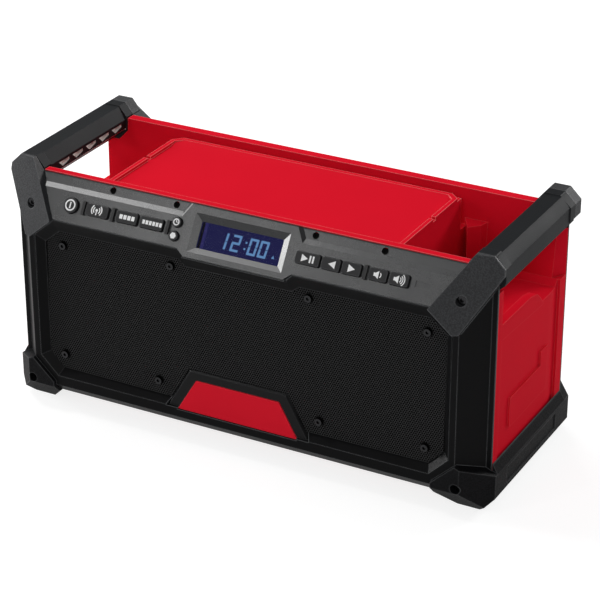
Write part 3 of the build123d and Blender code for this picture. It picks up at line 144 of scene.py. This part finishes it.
class Finish:
    """A material with one principled shader, and the patterns that feed it."""

    def __init__(self, name, **constants):
        self.material = bpy.data.materials.new(name)
        self.material.use_nodes = True
        self.tree = self.material.node_tree
        self.shader = self.tree.nodes["Principled BSDF"]
        for socket, value in constants.items():
            self.shader.inputs[socket.replace("_", " ")].default_value = value
        self.place = self.node("ShaderNodeTexCoord", {}, {}, "Object")

    def node(self, kind, settings, inputs, output=0):
        """One shader node, with its settings made first and then the values or links of its sockets."""
        made = self.tree.nodes.new(kind)
        for name, value in settings.items():
            setattr(made, name, value)
        for name, value in inputs.items():
            if isinstance(value, Signal):
                self.tree.links.new(value.socket, made.inputs[name])
            else:
                made.inputs[name].default_value = value
        return Signal(self, made.outputs[output])

    def feed(self, socket, signal):
        """Links a signal to a socket of the material's shader."""
        self.tree.links.new(signal.socket, self.shader.inputs[socket])

    def vector(self, operation, first, second, output):
        return self.node("ShaderNodeVectorMath", {"operation": operation}, {0: first, 1: second}, output)

    def axis(self, letter):
        """The X, Y or Z of each point in metres."""
        return self.node("ShaderNodeSeparateXYZ", {}, {"Vector": self.place}, letter)

    def along(self, direction, start):
        """Distance in metres from a start point along a direction."""
        offset = self.vector("SUBTRACT", self.place, start, "Vector")
        return self.vector("DOT_PRODUCT", offset, direction, "Value")

    def facing(self, direction):
        """1 where the surface faces a direction, 0 across it."""
        face = self.node("ShaderNodeNewGeometry", {}, {}, "Normal")
        return self.vector("DOT_PRODUCT", face, direction, "Value")

    def noise(self, size_mm, detail=2.0, rough=0.5):
        inputs = {"Vector": self.place, "Scale": 1000.0 / size_mm, "Detail": detail, "Roughness": rough}
        return self.node("ShaderNodeTexNoise", {}, inputs, "Fac")

    def cells(self, size_mm):
        inputs = {"Vector": self.place, "Scale": 1000.0 / size_mm}
        return self.node("ShaderNodeTexVoronoi", {}, inputs, "Distance")

    def blend(self, amount, first, second):
        return self.node("ShaderNodeMix", {"data_type": "RGBA"}, {0: amount, 6: first, 7: second}, 2)

    def edges(self, reach_mm):
        """1 along the piece's edges and 0 on its faces."""
        eased = self.node("ShaderNodeBevel", {"samples": 6}, {"Radius": reach_mm * MM})
        face = self.node("ShaderNodeNewGeometry", {}, {}, "Normal")
        return ((1.0 - self.vector("DOT_PRODUCT", eased, face, "Value")) * 6.0).limit()

    def edge_wear_and_sheen(self, reach_mm, wear):
        """How pale the edges turn, unevenly along their length: partly worn, partly a painted highlight."""
        return (self.edges(reach_mm) * (self.noise(14.0, 3.0) * 0.7 + 0.5) * wear).limit()

    def relief(self, height, depth_mm):
        """Fine relief that only shading shows."""
        inputs = {"Strength": 1.0, "Distance": depth_mm * MM, "Height": height}
        self.feed("Normal", self.node("ShaderNodeBump", {}, inputs, "Normal"))


def shade(colour, factor):
    """A colour made darker or lighter."""
    return tuple(min(1.0, c * factor) for c in colour[:3]) + (1.0,)


def panel_point(x, up, out):
    """A place on the sloped control panel, in metres from millimetres."""
    y = PANEL_EDGE_Y + up * cos(PANEL_SLOPE) - out * sin(PANEL_SLOPE)
    z = PANEL_EDGE_Z + up * sin(PANEL_SLOPE) + out * cos(PANEL_SLOPE)
    return Vector((x, y, z)) * MM


# ---------------------------------------------------------------- plastics and rubbers
class Moulding(Finish):
    """Moulded plastic or rubber with a fine grain, uneven in tone, and paler along its edges, partly worn
    and partly a painted highlight.
    """

    def __init__(self, name, colour, gloss, grain_mm, wear, reach_mm=1.3, ripple_mm=None):
        super().__init__(name, IOR=1.49, Specular_IOR_Level=gloss)
        self.grain = self.cells(grain_mm) + self.noise(ripple_mm or grain_mm * 2.2, 3.0) * 0.6
        self.haze = self.noise(38.0, 3.0)
        self.tint = self.blend(self.haze, shade(colour, 0.88), shade(colour, 1.12))
        if wear:
            # Paler edges: partly worn, partly a painted highlight.
            self.tint = self.blend(self.edge_wear_and_sheen(reach_mm, wear), self.tint, WORN_AND_SHEEN_GREY)

    def satin(self, roughness):
        """Roughness that follows the haze and the grain."""
        return (self.haze * 0.10 + (roughness - 0.05)) + self.grain * 0.02


def textured_plastic(name, colour, roughness, grain_mm=0.55, depth_mm=0.035, gloss=0.5, wear=0.0):
    """Moulded plastic or firm rubber with a fine even grain, and edges made paler by a little handling
    polish and a painted highlight.
    """
    finish = Moulding(name, colour, gloss, grain_mm, wear)
    finish.feed("Base Color", finish.tint)
    finish.feed("Roughness", finish.satin(roughness))
    finish.relief(finish.grain, depth_mm)
    return finish.material


def panel_plastic(name, colour, roughness, gloss):
    """Satin charcoal panel with black ribs, screw wells painted black as painted shade, and a painted
    highlight on the ridge left of the display.
    """
    finish = Moulding(name, colour, gloss, grain_mm=0.5, wear=0.15, reach_mm=0.9)
    foot = panel_point(0, 0, 0)
    out = finish.along((0.0, -sin(PANEL_SLOPE), cos(PANEL_SLOPE)), foot)
    up = finish.along((0.0, cos(PANEL_SLOPE), sin(PANEL_SLOPE)), foot)
    across = finish.axis("X")
    ribs = out.past(0.2, 0.25)
    # Painted shade: the walls of the screw wells painted black.
    wells = out.short_of(-2.0, 1 / 6) * up.past(29.0, 1 / 6)
    seam = up.past(34.9, 0.25)
    black = (ribs + wells + seam).limit()
    leftward = ((finish.facing((-1.0, 0.0, 0.0)) - 0.2) * 8.0).limit()
    # Painted highlight on the left-facing ridge beside the display.
    ridge = leftward * out.past(-1.15, 0.25) * up.past(20.0, 1.0) * across.between(-75.0, -30.0, 1.0)
    tint = finish.blend(ridge, finish.tint, PAINTED_HIGHLIGHT_GREY)
    finish.feed("Base Color", finish.blend(black, tint, RIB_BLACK_AND_WELL_SHADE))
    finish.feed("Roughness", finish.satin(roughness) + black * 0.3)
    finish.relief(finish.grain, 0.012)
    return finish.material


def grip_rubber(name, colour, roughness, gloss):
    """Handle rubber with a fine grain, and its finger hollows painted pale grey as painted light."""
    finish = Moulding(name, colour, gloss, grain_mm=0.6, wear=0.15, ripple_mm=1.3)
    hollow_depth = finish.axis("X").maths("ABSOLUTE").between(175.3, 180.0, 0.25)
    hollow_height = finish.axis("Z").between(180.8, 190.5, 1 / 3)
    # Painted light in the finger hollows.
    lit_hollows = hollow_depth * hollow_height
    finish.feed("Base Color", finish.blend(lit_hollows, finish.tint, PAINTED_LIGHT_GREY))
    finish.feed("Roughness", finish.satin(roughness))
    finish.relief(finish.grain, 0.04)
    return finish.material


def pebbled_rubber(name, colour, roughness, gloss, wear, pebble_mm=1.1):
    """Bumper rubber with a coarse pebbled texture, its crowns polished paler than its pits."""
    finish = Finish(name, IOR=1.49, Specular_IOR_Level=gloss)
    pebbles = (1.0 - finish.cells(pebble_mm) * 1.3).limit()
    uneven = finish.noise(pebble_mm * 1.6, 3.0, 0.6)
    crown = (pebbles * 0.7 + uneven * 0.9 - 0.45).limit()
    haze = finish.noise(45.0, 2.0)
    # Paler edges: partly worn, partly a painted highlight.
    pale_edges = finish.edge_wear_and_sheen(1.5, wear)
    tint = finish.blend(crown, shade(colour, 0.55), shade(colour, 1.5))
    finish.feed("Base Color", finish.blend(pale_edges, tint, WORN_AND_SHEEN_GREY))
    finish.feed("Roughness", haze * 0.1 + (roughness + 0.05) - crown * 0.14 - pale_edges * 0.5)
    finish.relief(crown, 0.12)
    return finish.material


def smooth_plastic(name, colour, roughness, gloss):
    """Nearly smooth satin plastic with faint flow, its edges painted paler as a highlight, most of all near
    the top.
    """
    finish = Finish(name, IOR=1.46, Specular_IOR_Level=gloss)
    flow = finish.noise(60.0, 2.0)
    fine = finish.noise(0.5, 2.0)
    tint = finish.blend(flow, shade(colour, 0.95), shade(colour, 1.05))
    # Painted highlight along the edges, strongest near the top.
    highlight_near_top = finish.axis("Z").past(184.0, 1.0) * 0.8 + 0.25
    pale_edges = finish.edges(0.9) * (finish.noise(18.0, 3.0) * 0.5 + 0.35) * highlight_near_top
    finish.feed("Base Color", finish.blend(pale_edges.limit(), tint, PAINTED_HIGHLIGHT_RED))
    finish.feed("Roughness", flow * 0.08 + fine * 0.06 + (roughness - 0.07))
    finish.relief(fine, 0.012)
    return finish.material


# ---------------------------------------------------------------- metals, screen and boards
def perforated_sheet(name, colour, pitch_mm=1.9, hole_mm=1.58, shade_ring_mm=3.2):
    """Coated sheet with a close staggered pattern of round holes painted black as the shade inside them, and
    a ring of painted shade round each screw.
    """
    finish = Finish(name, IOR=1.5, Specular_IOR_Level=0.08)
    sideways = finish.axis("X")
    height = finish.axis("Z")
    row_ratio = 3 ** 0.5
    across = sideways * (1.0 / (pitch_mm * MM))
    upward = height * (1.0 / (pitch_mm * MM * row_ratio))

    def from_hole(shift):
        dx = (across + shift).maths("FRACT") - 0.5
        dz = ((upward + shift).maths("FRACT") - 0.5) * row_ratio
        return (dx * dx + dz * dz).maths("SQRT")

    nearest = from_hole(0.0).maths("MINIMUM", from_hole(0.5))
    hole_edge = (hole_mm / pitch_mm) / 2
    between_holes = ((nearest - (hole_edge - 0.05)) * 10.0).limit()
    from_middle = sideways.maths("ABSOLUTE")
    # A ring of painted shade round each screw.
    outside_shade_rings = 1.0
    for x, z in GRILLE_SCREWS:
        dx = from_middle - x * MM
        dz = height - z * MM
        outside_shade_rings = (dx * dx + dz * dz).maths("SQRT").past(shade_ring_mm, 1.0) * outside_shade_rings
    sheet = between_holes * outside_shade_rings
    finish.feed("Base Color", finish.blend(sheet, HOLE_AND_RING_SHADE, shade(colour, 1.0)))
    finish.feed("Roughness", 0.95 - sheet * 0.45)
    finish.relief(between_holes, 0.25)
    return finish.material


def metal(name, colour, roughness):
    """Bare or blackened metal, finely uneven."""
    finish = Finish(name, Metallic=1.0)
    fine = finish.noise(0.8, 3.0)
    finish.feed("Base Color", finish.blend(fine, shade(colour, 0.88), shade(colour, 1.1)))
    finish.feed("Roughness", fine * 0.16 + (roughness - 0.08))
    finish.relief(fine, 0.01)
    return finish.material


def printed(name, light, surface=SCREEN_BLACK, strength=1.0, roughness=0.4):
    """A printed or lit patch: its own light, if it has any, over a matt surface."""
    finish = Finish(name, Specular_IOR_Level=0.0, Roughness=roughness, Emission_Strength=strength)
    fine = finish.noise(3.0, 1.0)
    finish.feed("Base Color", finish.blend(fine, shade(surface, 0.9), shade(surface, 1.1)))
    finish.feed("Emission Color", finish.blend(fine, shade(light, 0.94), shade(light, 1.06)))
    return finish.material


def clear_window(name):
    """Clear sheet that hardly shows."""
    finish = Finish(name, IOR=1.46, Alpha=0.04, Specular_IOR_Level=0.0, Base_Color=(0.1, 0.1, 0.15, 1.0))
    finish.feed("Roughness", finish.noise(20.0, 2.0) * 0.05 + 0.05)
    return finish.material


def circuit(name):
    """Green solder mask, mottled where copper lies under it."""
    finish = Finish(name, IOR=1.5)
    finish.feed("Base Color", finish.blend(finish.noise(5.0), (0.01, 0.06, 0.03, 1), (0.03, 0.16, 0.07, 1)))
    finish.feed("Roughness", finish.noise(2.0) * 0.2 + 0.3)
    finish.relief(finish.cells(3.5), 0.05)
    return finish.material


finishes = {
    "housing": textured_plastic("housing_black", CASE_BLACK, 0.34, gloss=0.07, wear=0.7),
    "shell": smooth_plastic("shell_red", RED, 0.34, gloss=0.004),
    "grille": perforated_sheet("grille_black", (0.044, 0.044, 0.045)),
    "badge_frame": textured_plastic("badge_frame_black", BLACK, 0.34, gloss=0.15, wear=0.35),
    "badge_plate": smooth_plastic("badge_plate_red", BADGE_RED, 0.36, gloss=0.04),
    "control_panel": panel_plastic("panel_charcoal", CHARCOAL, 0.26, gloss=0.55),
    "display_lens": clear_window("display_window"),
    "display": printed("display_blue", (0.0085, 0.009, 0.054, 1.0)),
    "keys": textured_plastic("key_rubber", (0.016, 0.016, 0.017), 0.42, 0.4, 0.010, gloss=0.26, wear=0.3),
    "membrane": textured_plastic("membrane_rubber", (0.08, 0.08, 0.085), 0.6),
    "circuit_board": circuit("board_green"),
    "screws": metal("screw_black", (0.045, 0.045, 0.047), 0.22),
    "speaker_frame": textured_plastic("basket_black", (0.02, 0.02, 0.02), 0.5),
    "speaker_cone": textured_plastic("cone_paper", (0.02, 0.02, 0.022), 0.8, 0.8, 0.1),
    "speaker_magnet": metal("magnet_iron", (0.12, 0.12, 0.125), 0.5),
    "flap": textured_plastic("flap_rubber", (0.012, 0.012, 0.013), 0.55, gloss=0.2, wear=0.2),
    "inlet": textured_plastic("inlet_black", (0.01, 0.01, 0.011), 0.5, gloss=0.2),
    "terminals": metal("terminal_brass", (0.65, 0.5, 0.22), 0.3),
    "heat_sink": metal("sink_aluminium", (0.75, 0.75, 0.77), 0.35),
    "grip": grip_rubber("grip_rubber", (0.0115, 0.0125, 0.014), 0.40, gloss=0.06),
    "handle_plate": pebbled_rubber("handle_plate_rubber", HANDLE_GREY, 0.46, gloss=0.30, wear=0.5),
    "base_rail": pebbled_rubber("rail_rubber", RAIL_BLACK, 0.46, gloss=0.08, wear=0.4),
    "rail_pads": textured_plastic("pad_rubber", (0.01, 0.01, 0.01), 0.7),
}
# The panel's screws lie deep in their wells and are painted black, as painted shade.
shade_black_screws = {"panel_screws": textured_plastic("well_shade_black", (0.003, 0.003, 0.003), 0.6, gloss=0.05)}
legend_white = printed("legend_white", (0.9, 0.9, 0.9, 1.0), LEGEND_GREY, strength=0.0, roughness=0.5)
digit_blue = printed("digit_blue", (0.10, 0.23, 0.45, 1.0), (0.02, 0.02, 0.03, 1.0))
display_seal = printed("display_seal", (0.002, 0.002, 0.003, 1.0), (0.002, 0.002, 0.002, 1.0))
display_margin = printed("display_margin", (0.020, 0.018, 0.095, 1.0))


# ---------------------------------------------------------------- pieces
def dress(obj, material):
    """Gives a piece one finish all over."""
    obj.data.materials.clear()
    obj.data.materials.append(material)
    for polygon in obj.data.polygons:
        polygon.material_index = 0


def welded(mesh, whole_faces):
    """The mesh as one skin with joined corners, and whole flat faces where asked."""
    work = bmesh.new()
    work.from_mesh(mesh)
    bmesh.ops.remove_doubles(work, verts=work.verts, dist=0.02 * MM)
    if whole_faces:
        bmesh.ops.dissolve_limit(work, angle_limit=radians(0.6), verts=work.verts, edges=work.edges,
                                 delimit={"NORMAL"})
    clean = bpy.data.meshes.new(mesh.name + "_skin")
    work.to_mesh(clean)
    work.free()
    if "custom_normal" in clean.attributes:
        clean.attributes.remove(clean.attributes["custom_normal"])
    return clean


def rounded(node, slot, radius_mm, body=BODY, segments=2, whole_faces=True):
    """A finished copy of a node with its edges rounded as a mould leaves them."""
    piece = bpy.data.objects.new(node + "_finished", welded(frame["nodes"][node].data, whole_faces))
    scene.collection.objects.link(piece)
    bevel = piece.modifiers.new("edge_radius", "BEVEL")
    bevel.width = radius_mm * MM
    bevel.segments = segments
    bevel.limit_method = "ANGLE"
    bevel.angle_limit = radians(24)
    bevel.use_clamp_overlap = True
    bevel.harden_normals = True
    for polygon in piece.data.polygons:
        polygon.use_smooth = True
    dress(piece, finishes[slot])
    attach(piece, body)
    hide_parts(node)


def finish_nodes():
    """Edges and finishes of every part."""
    slots = {entry["node"]: entry["material_slot"] for entry in frame["record"]["subparts"]}
    radii = {
        "front_housing": 0.7, "main_shell": 0.7, "rear_housing": 0.8, "control_panel": 0.35,
        "badge_frame": 0.4, "badge_plate": 0.3, "left_base_rail": 1.0, "right_base_rail": 1.0,
        "left_handle_front_plate": 0.9, "right_handle_front_plate": 0.9, "left_handle_rear_plate": 0.9,
        "right_handle_rear_plate": 0.9, "left_handle_bar": 0.8, "right_handle_bar": 0.8, "port_flap": 0.4,
    }
    pierced = ("front_housing", "main_shell", "rear_housing", "control_panel", "badge_frame")
    for node, obj in frame["nodes"].items():
        slot = slots[node]
        if node in radii:
            body = "port_flap_body" if node == "port_flap" else BODY
            rounded(node, slot, radii[node], body, whole_faces=node not in pierced)
        elif node.endswith("_button"):
            rounded(node, slot, 0.5, node + "_body", segments=3)
        else:
            dress(obj, shade_black_screws.get(node, finishes[slot]))


# ---------------------------------------------------------------- marks on the panel
def plate_on_panel(name, outlines, out, thickness, material, body):
    """Flat printed or moulded shapes lying on the panel's slope."""
    work = bmesh.new()
    for outline in outlines:
        top = [work.verts.new(panel_point(x, up, out + thickness)) for x, up in outline]
        bottom = [work.verts.new(panel_point(x, up, out)) for x, up in outline]
        work.faces.new(top)
        work.faces.new(list(reversed(bottom)))
        count = len(outline)
        for i in range(count):
            j = (i + 1) % count
            work.faces.new((top[j], top[i], bottom[i], bottom[j]))
    bmesh.ops.recalc_face_normals(work, faces=work.faces)
    mesh = bpy.data.meshes.new(name)
    work.to_mesh(mesh)
    work.free()
    piece = bpy.data.objects.new(name, mesh)
    scene.collection.objects.link(piece)
    mesh.materials.append(material)
    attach(piece, body)


def ring(x, up, inner, outer, start=0.0, end=360.0, steps=28):
    """A ring, or an arc between two angles, as a row of small four-sided shapes."""
    shapes = []
    for i in range(steps):
        a = radians(start + (end - start) * i / steps)
        b = radians(start + (end - start) * (i + 1) / steps)
        corners = ((inner, a), (outer, a), (outer, b), (inner, b))
        shapes.append([(x + r * cos(t), up + r * sin(t)) for r, t in corners])
    return shapes


def bar(x0, x1, up0, up1):
    """An upright or level bar."""
    return [(x0, up0), (x1, up0), (x1, up1), (x0, up1)]


def bars(x, count, width, pitch, low, high):
    """Equal upright bars in a row, from low to high about the middle of the keys."""
    lefts = [x + i * pitch for i in range(count)]
    return [bar(left, left + width, KEY_ROW + low, KEY_ROW + high) for left in lefts]


def arrow(x, size, way):
    """A triangle that points right for 1 and left for -1."""
    back = x - way * size * 0.45
    tip = x + way * size * 0.5
    return [(back, KEY_ROW - size * 0.5), (tip, KEY_ROW), (back, KEY_ROW + size * 0.5)]


def power_mark(x):
    """An upright stroke inside a ring."""
    stroke = bar(x - 0.55, x + 0.55, KEY_ROW - 2.4, KEY_ROW + 2.4)
    return ring(x, KEY_ROW, 3.3, 4.4) + [stroke]


def wireless_mark(x):
    """A mast with a round head and two waves on each side."""
    head = KEY_ROW + 0.4
    mast = bar(x - 0.45, x + 0.45, KEY_ROW - 3.2, KEY_ROW)
    shapes = [mast] + ring(x, head, 0.0, 1.1, steps=12)
    for radius in (2.2, 3.9):
        shapes += ring(x, head, radius, radius + 0.9, -48.0, 48.0, 8)
        shapes += ring(x, head, radius, radius + 0.9, 132.0, 228.0, 8)
    return shapes


def clock_mark(x, up):
    """A clock face with two hands."""
    long_hand = bar(x - 0.3, x + 0.3, up - 0.3, up + 1.4)
    short_hand = bar(x - 0.3, x + 1.2, up - 0.3, up + 0.2)
    return ring(x, up, 1.7, 2.6) + [long_hand, short_hand]


def loudspeaker_mark(x, waves):
    """A loudspeaker seen from its side, with its sound waves."""
    back, throat, mouth = x - 3.4, x - 1.9, x + 0.4
    low, high = KEY_ROW - 1.2, KEY_ROW + 1.2
    cone = [(throat, low), (mouth, KEY_ROW - 2.9), (mouth, KEY_ROW + 2.9), (throat, high)]
    shapes = [bar(back, throat, low, high), cone]
    for i in range(waves):
        radius = 1.7 + 1.45 * i
        shapes += ring(x + 0.2, KEY_ROW, radius, radius + 0.7, -52.0, 52.0, 8)
    return shapes


def make_legends():
    """White marks on the keys, each riding on its own key."""
    pair_x = -51.6  # the two small keys beside the display, one above the other
    pair_rise = 5.1
    mark_foot = KEY_TOP - 0.01  # just inside the key's face
    mark_thickness = 0.05
    marks = {
        "power_button": power_mark(-141.5),
        "wireless_button": wireless_mark(-118.45),
        "mode_button": bars(-98.6, 4, 2.6, 3.4, -1.6, 1.7),
        "preset_button": bars(-78.9, 6, 2.1, 2.85, -1.5, 1.5),
        "clock_button": clock_mark(pair_x, KEY_ROW + pair_rise),
        "select_button": ring(pair_x, KEY_ROW - pair_rise, 0.0, 2.5, steps=6),
        "play_pause_button": [arrow(54.9, 5.4, 1)] + bars(58.7, 2, 1.3, 2.4, -2.6, 2.6),
        "previous_button": [arrow(76.6, 5.6, -1)],
        "next_button": [arrow(91.8, 5.6, 1)],
        "volume_down_button": loudspeaker_mark(112.6, 1),
        "volume_up_button": loudspeaker_mark(128.0, 3),
    }
    for key, shapes in marks.items():
        plate_on_panel(key + "_mark", shapes, mark_foot, mark_thickness, legend_white, key + "_body")


SEGMENTS = {"1": "bc", "2": "abged", "0": "abcdef"}


def digit(shown, x, up):
    """Seven-segment strokes of one figure, leaning a little."""
    width, height, stroke = 7.0, 12.4, 1.7
    gap = 0.25
    lean = 0.08
    half = height / 2
    places = {
        "a": bar(x + gap, x + width - gap, up + height - stroke, up + height),
        "g": bar(x + gap, x + width - gap, up + half - stroke / 2, up + half + stroke / 2),
        "d": bar(x + gap, x + width - gap, up, up + stroke),
        "f": bar(x, x + stroke, up + half + gap, up + height - gap),
        "b": bar(x + width - stroke, x + width, up + half + gap, up + height - gap),
        "e": bar(x, x + stroke, up + gap, up + half - gap),
        "c": bar(x + width - stroke, x + width, up + gap, up + half - gap),
    }
    return [[(px + lean * (py - up), py) for px, py in places[s]] for s in SEGMENTS[shown]]


def make_display():
    """The lit figures of the clock behind the window, and the edge of the screen at its left."""
    figures_foot = 7.9
    figures = []
    for shown, x in (("1", -18.4), ("2", -7.8), ("0", 6.1), ("0", 14.7)):
        figures += digit(shown, x, figures_foot)
    colon = [bar(3.2, 4.6, 10.9, 12.3), bar(3.6, 5.0, 15.6, 17.0)]
    alarm_mark = [(26.4, 9.2), (28.8, 9.2), (27.6, 11.6)]
    screen_foot, screen_head = 4.7, 24.1
    marks = {
        "clock_figures": (figures + colon + [alarm_mark], 0.08, digit_blue),
        "display_seal": ([bar(-33.5, -31.4, screen_foot, screen_head)], 0.06, display_seal),
        "display_margin": ([bar(-31.4, -28.9, screen_foot, screen_head)], 0.05, display_margin),
    }
    for name, (shapes, thickness, material) in marks.items():
        plate_on_panel(name, shapes, SCREEN_FACE, thickness, material, BODY)


# ---------------------------------------------------------------- studio
# name, place, the point it faces, width and height in metres, and watts
LAMPS = (
    ("key_softbox", (-1.10, -1.75, 1.37), (0, -0.08, 0.17), 0.36, 0.45, 3.9),
    ("side_strip", (-0.62, -1.83, 1.42), (0, -0.08, 0.17), 0.14, 0.35, 0.95),
    ("band_softbox", (-1.24, -0.18, 2.0), (0, -0.07, 0.18), 0.42, 0.55, 10.0),
    ("overhead_softbox", (-1.15, 0.85, 2.05), (-0.05, 0, 0.17), 1.2, 1.3, 28.0),
    ("corner_softbox", (1.15, 2.05, 1.15), (0, 0, 0.15), 0.8, 0.45, 26.0),
    ("left_softbox", (-2.32, -0.33, 0.64), (0, -0.08, 0.17), 0.85, 0.6, 28.0),
    ("front_fill", (1.05, -2.75, 1.55), (0.1, 0, 0.1), 1.3, 1.2, 20.0),
)


def lamp(name, place, target, width, height, power):
    """A rectangular softbox that faces a point."""
    light = bpy.data.lights.new(name, "AREA")
    light.shape = "RECTANGLE"
    light.size = width
    light.size_y = height
    light.energy = power
    obj = bpy.data.objects.new(name, light)
    obj.location = place
    obj.rotation_euler = (Vector(target) - Vector(place)).to_track_quat("-Z", "Y").to_euler()
    scene.collection.objects.link(obj)


def floor_finish():
    """Pale floor, white to the eye, under half as bright in gloss, that takes the radio's shadow."""
    finish = Finish("floor_white", Roughness=0.9, Specular_IOR_Level=0.0, Emission_Strength=0.80)

    def ray(kind):
        return finish.node("ShaderNodeLightPath", {}, {}, f"Is {kind} Ray")

    direct = (ray("Camera") + ray("Transmission")).limit()
    mirrored = ray("Glossy")
    seen = (direct + mirrored).limit()
    white = (direct + mirrored * 0.45).limit()
    finish.feed("Base Color", finish.blend(seen, (0.86, 0.86, 0.86, 1), (0.36, 0.36, 0.36, 1)))
    finish.feed("Emission Color", finish.blend(white, (0, 0, 0, 1), (1, 1, 1, 1)))
    return finish.material


def make_studio():
    """A wide pale floor just under the radio, a dim even world and the lamps."""
    bpy.ops.mesh.primitive_plane_add(size=14.0, location=(0, 0, -0.2 * MM))
    floor = bpy.context.object
    floor.name = "studio_floor"
    floor.data.materials.append(floor_finish())
    world = scene.world or bpy.data.worlds.new("studio_world")
    scene.world = world
    world.use_nodes = True
    background = world.node_tree.nodes["Background"]
    background.inputs["Color"].default_value = (1, 1, 1, 1)
    background.inputs["Strength"].default_value = 0.19
    for settings in LAMPS:
        lamp(*settings)


set_camera()
make_studio()
finish_nodes()
make_legends()
make_display()
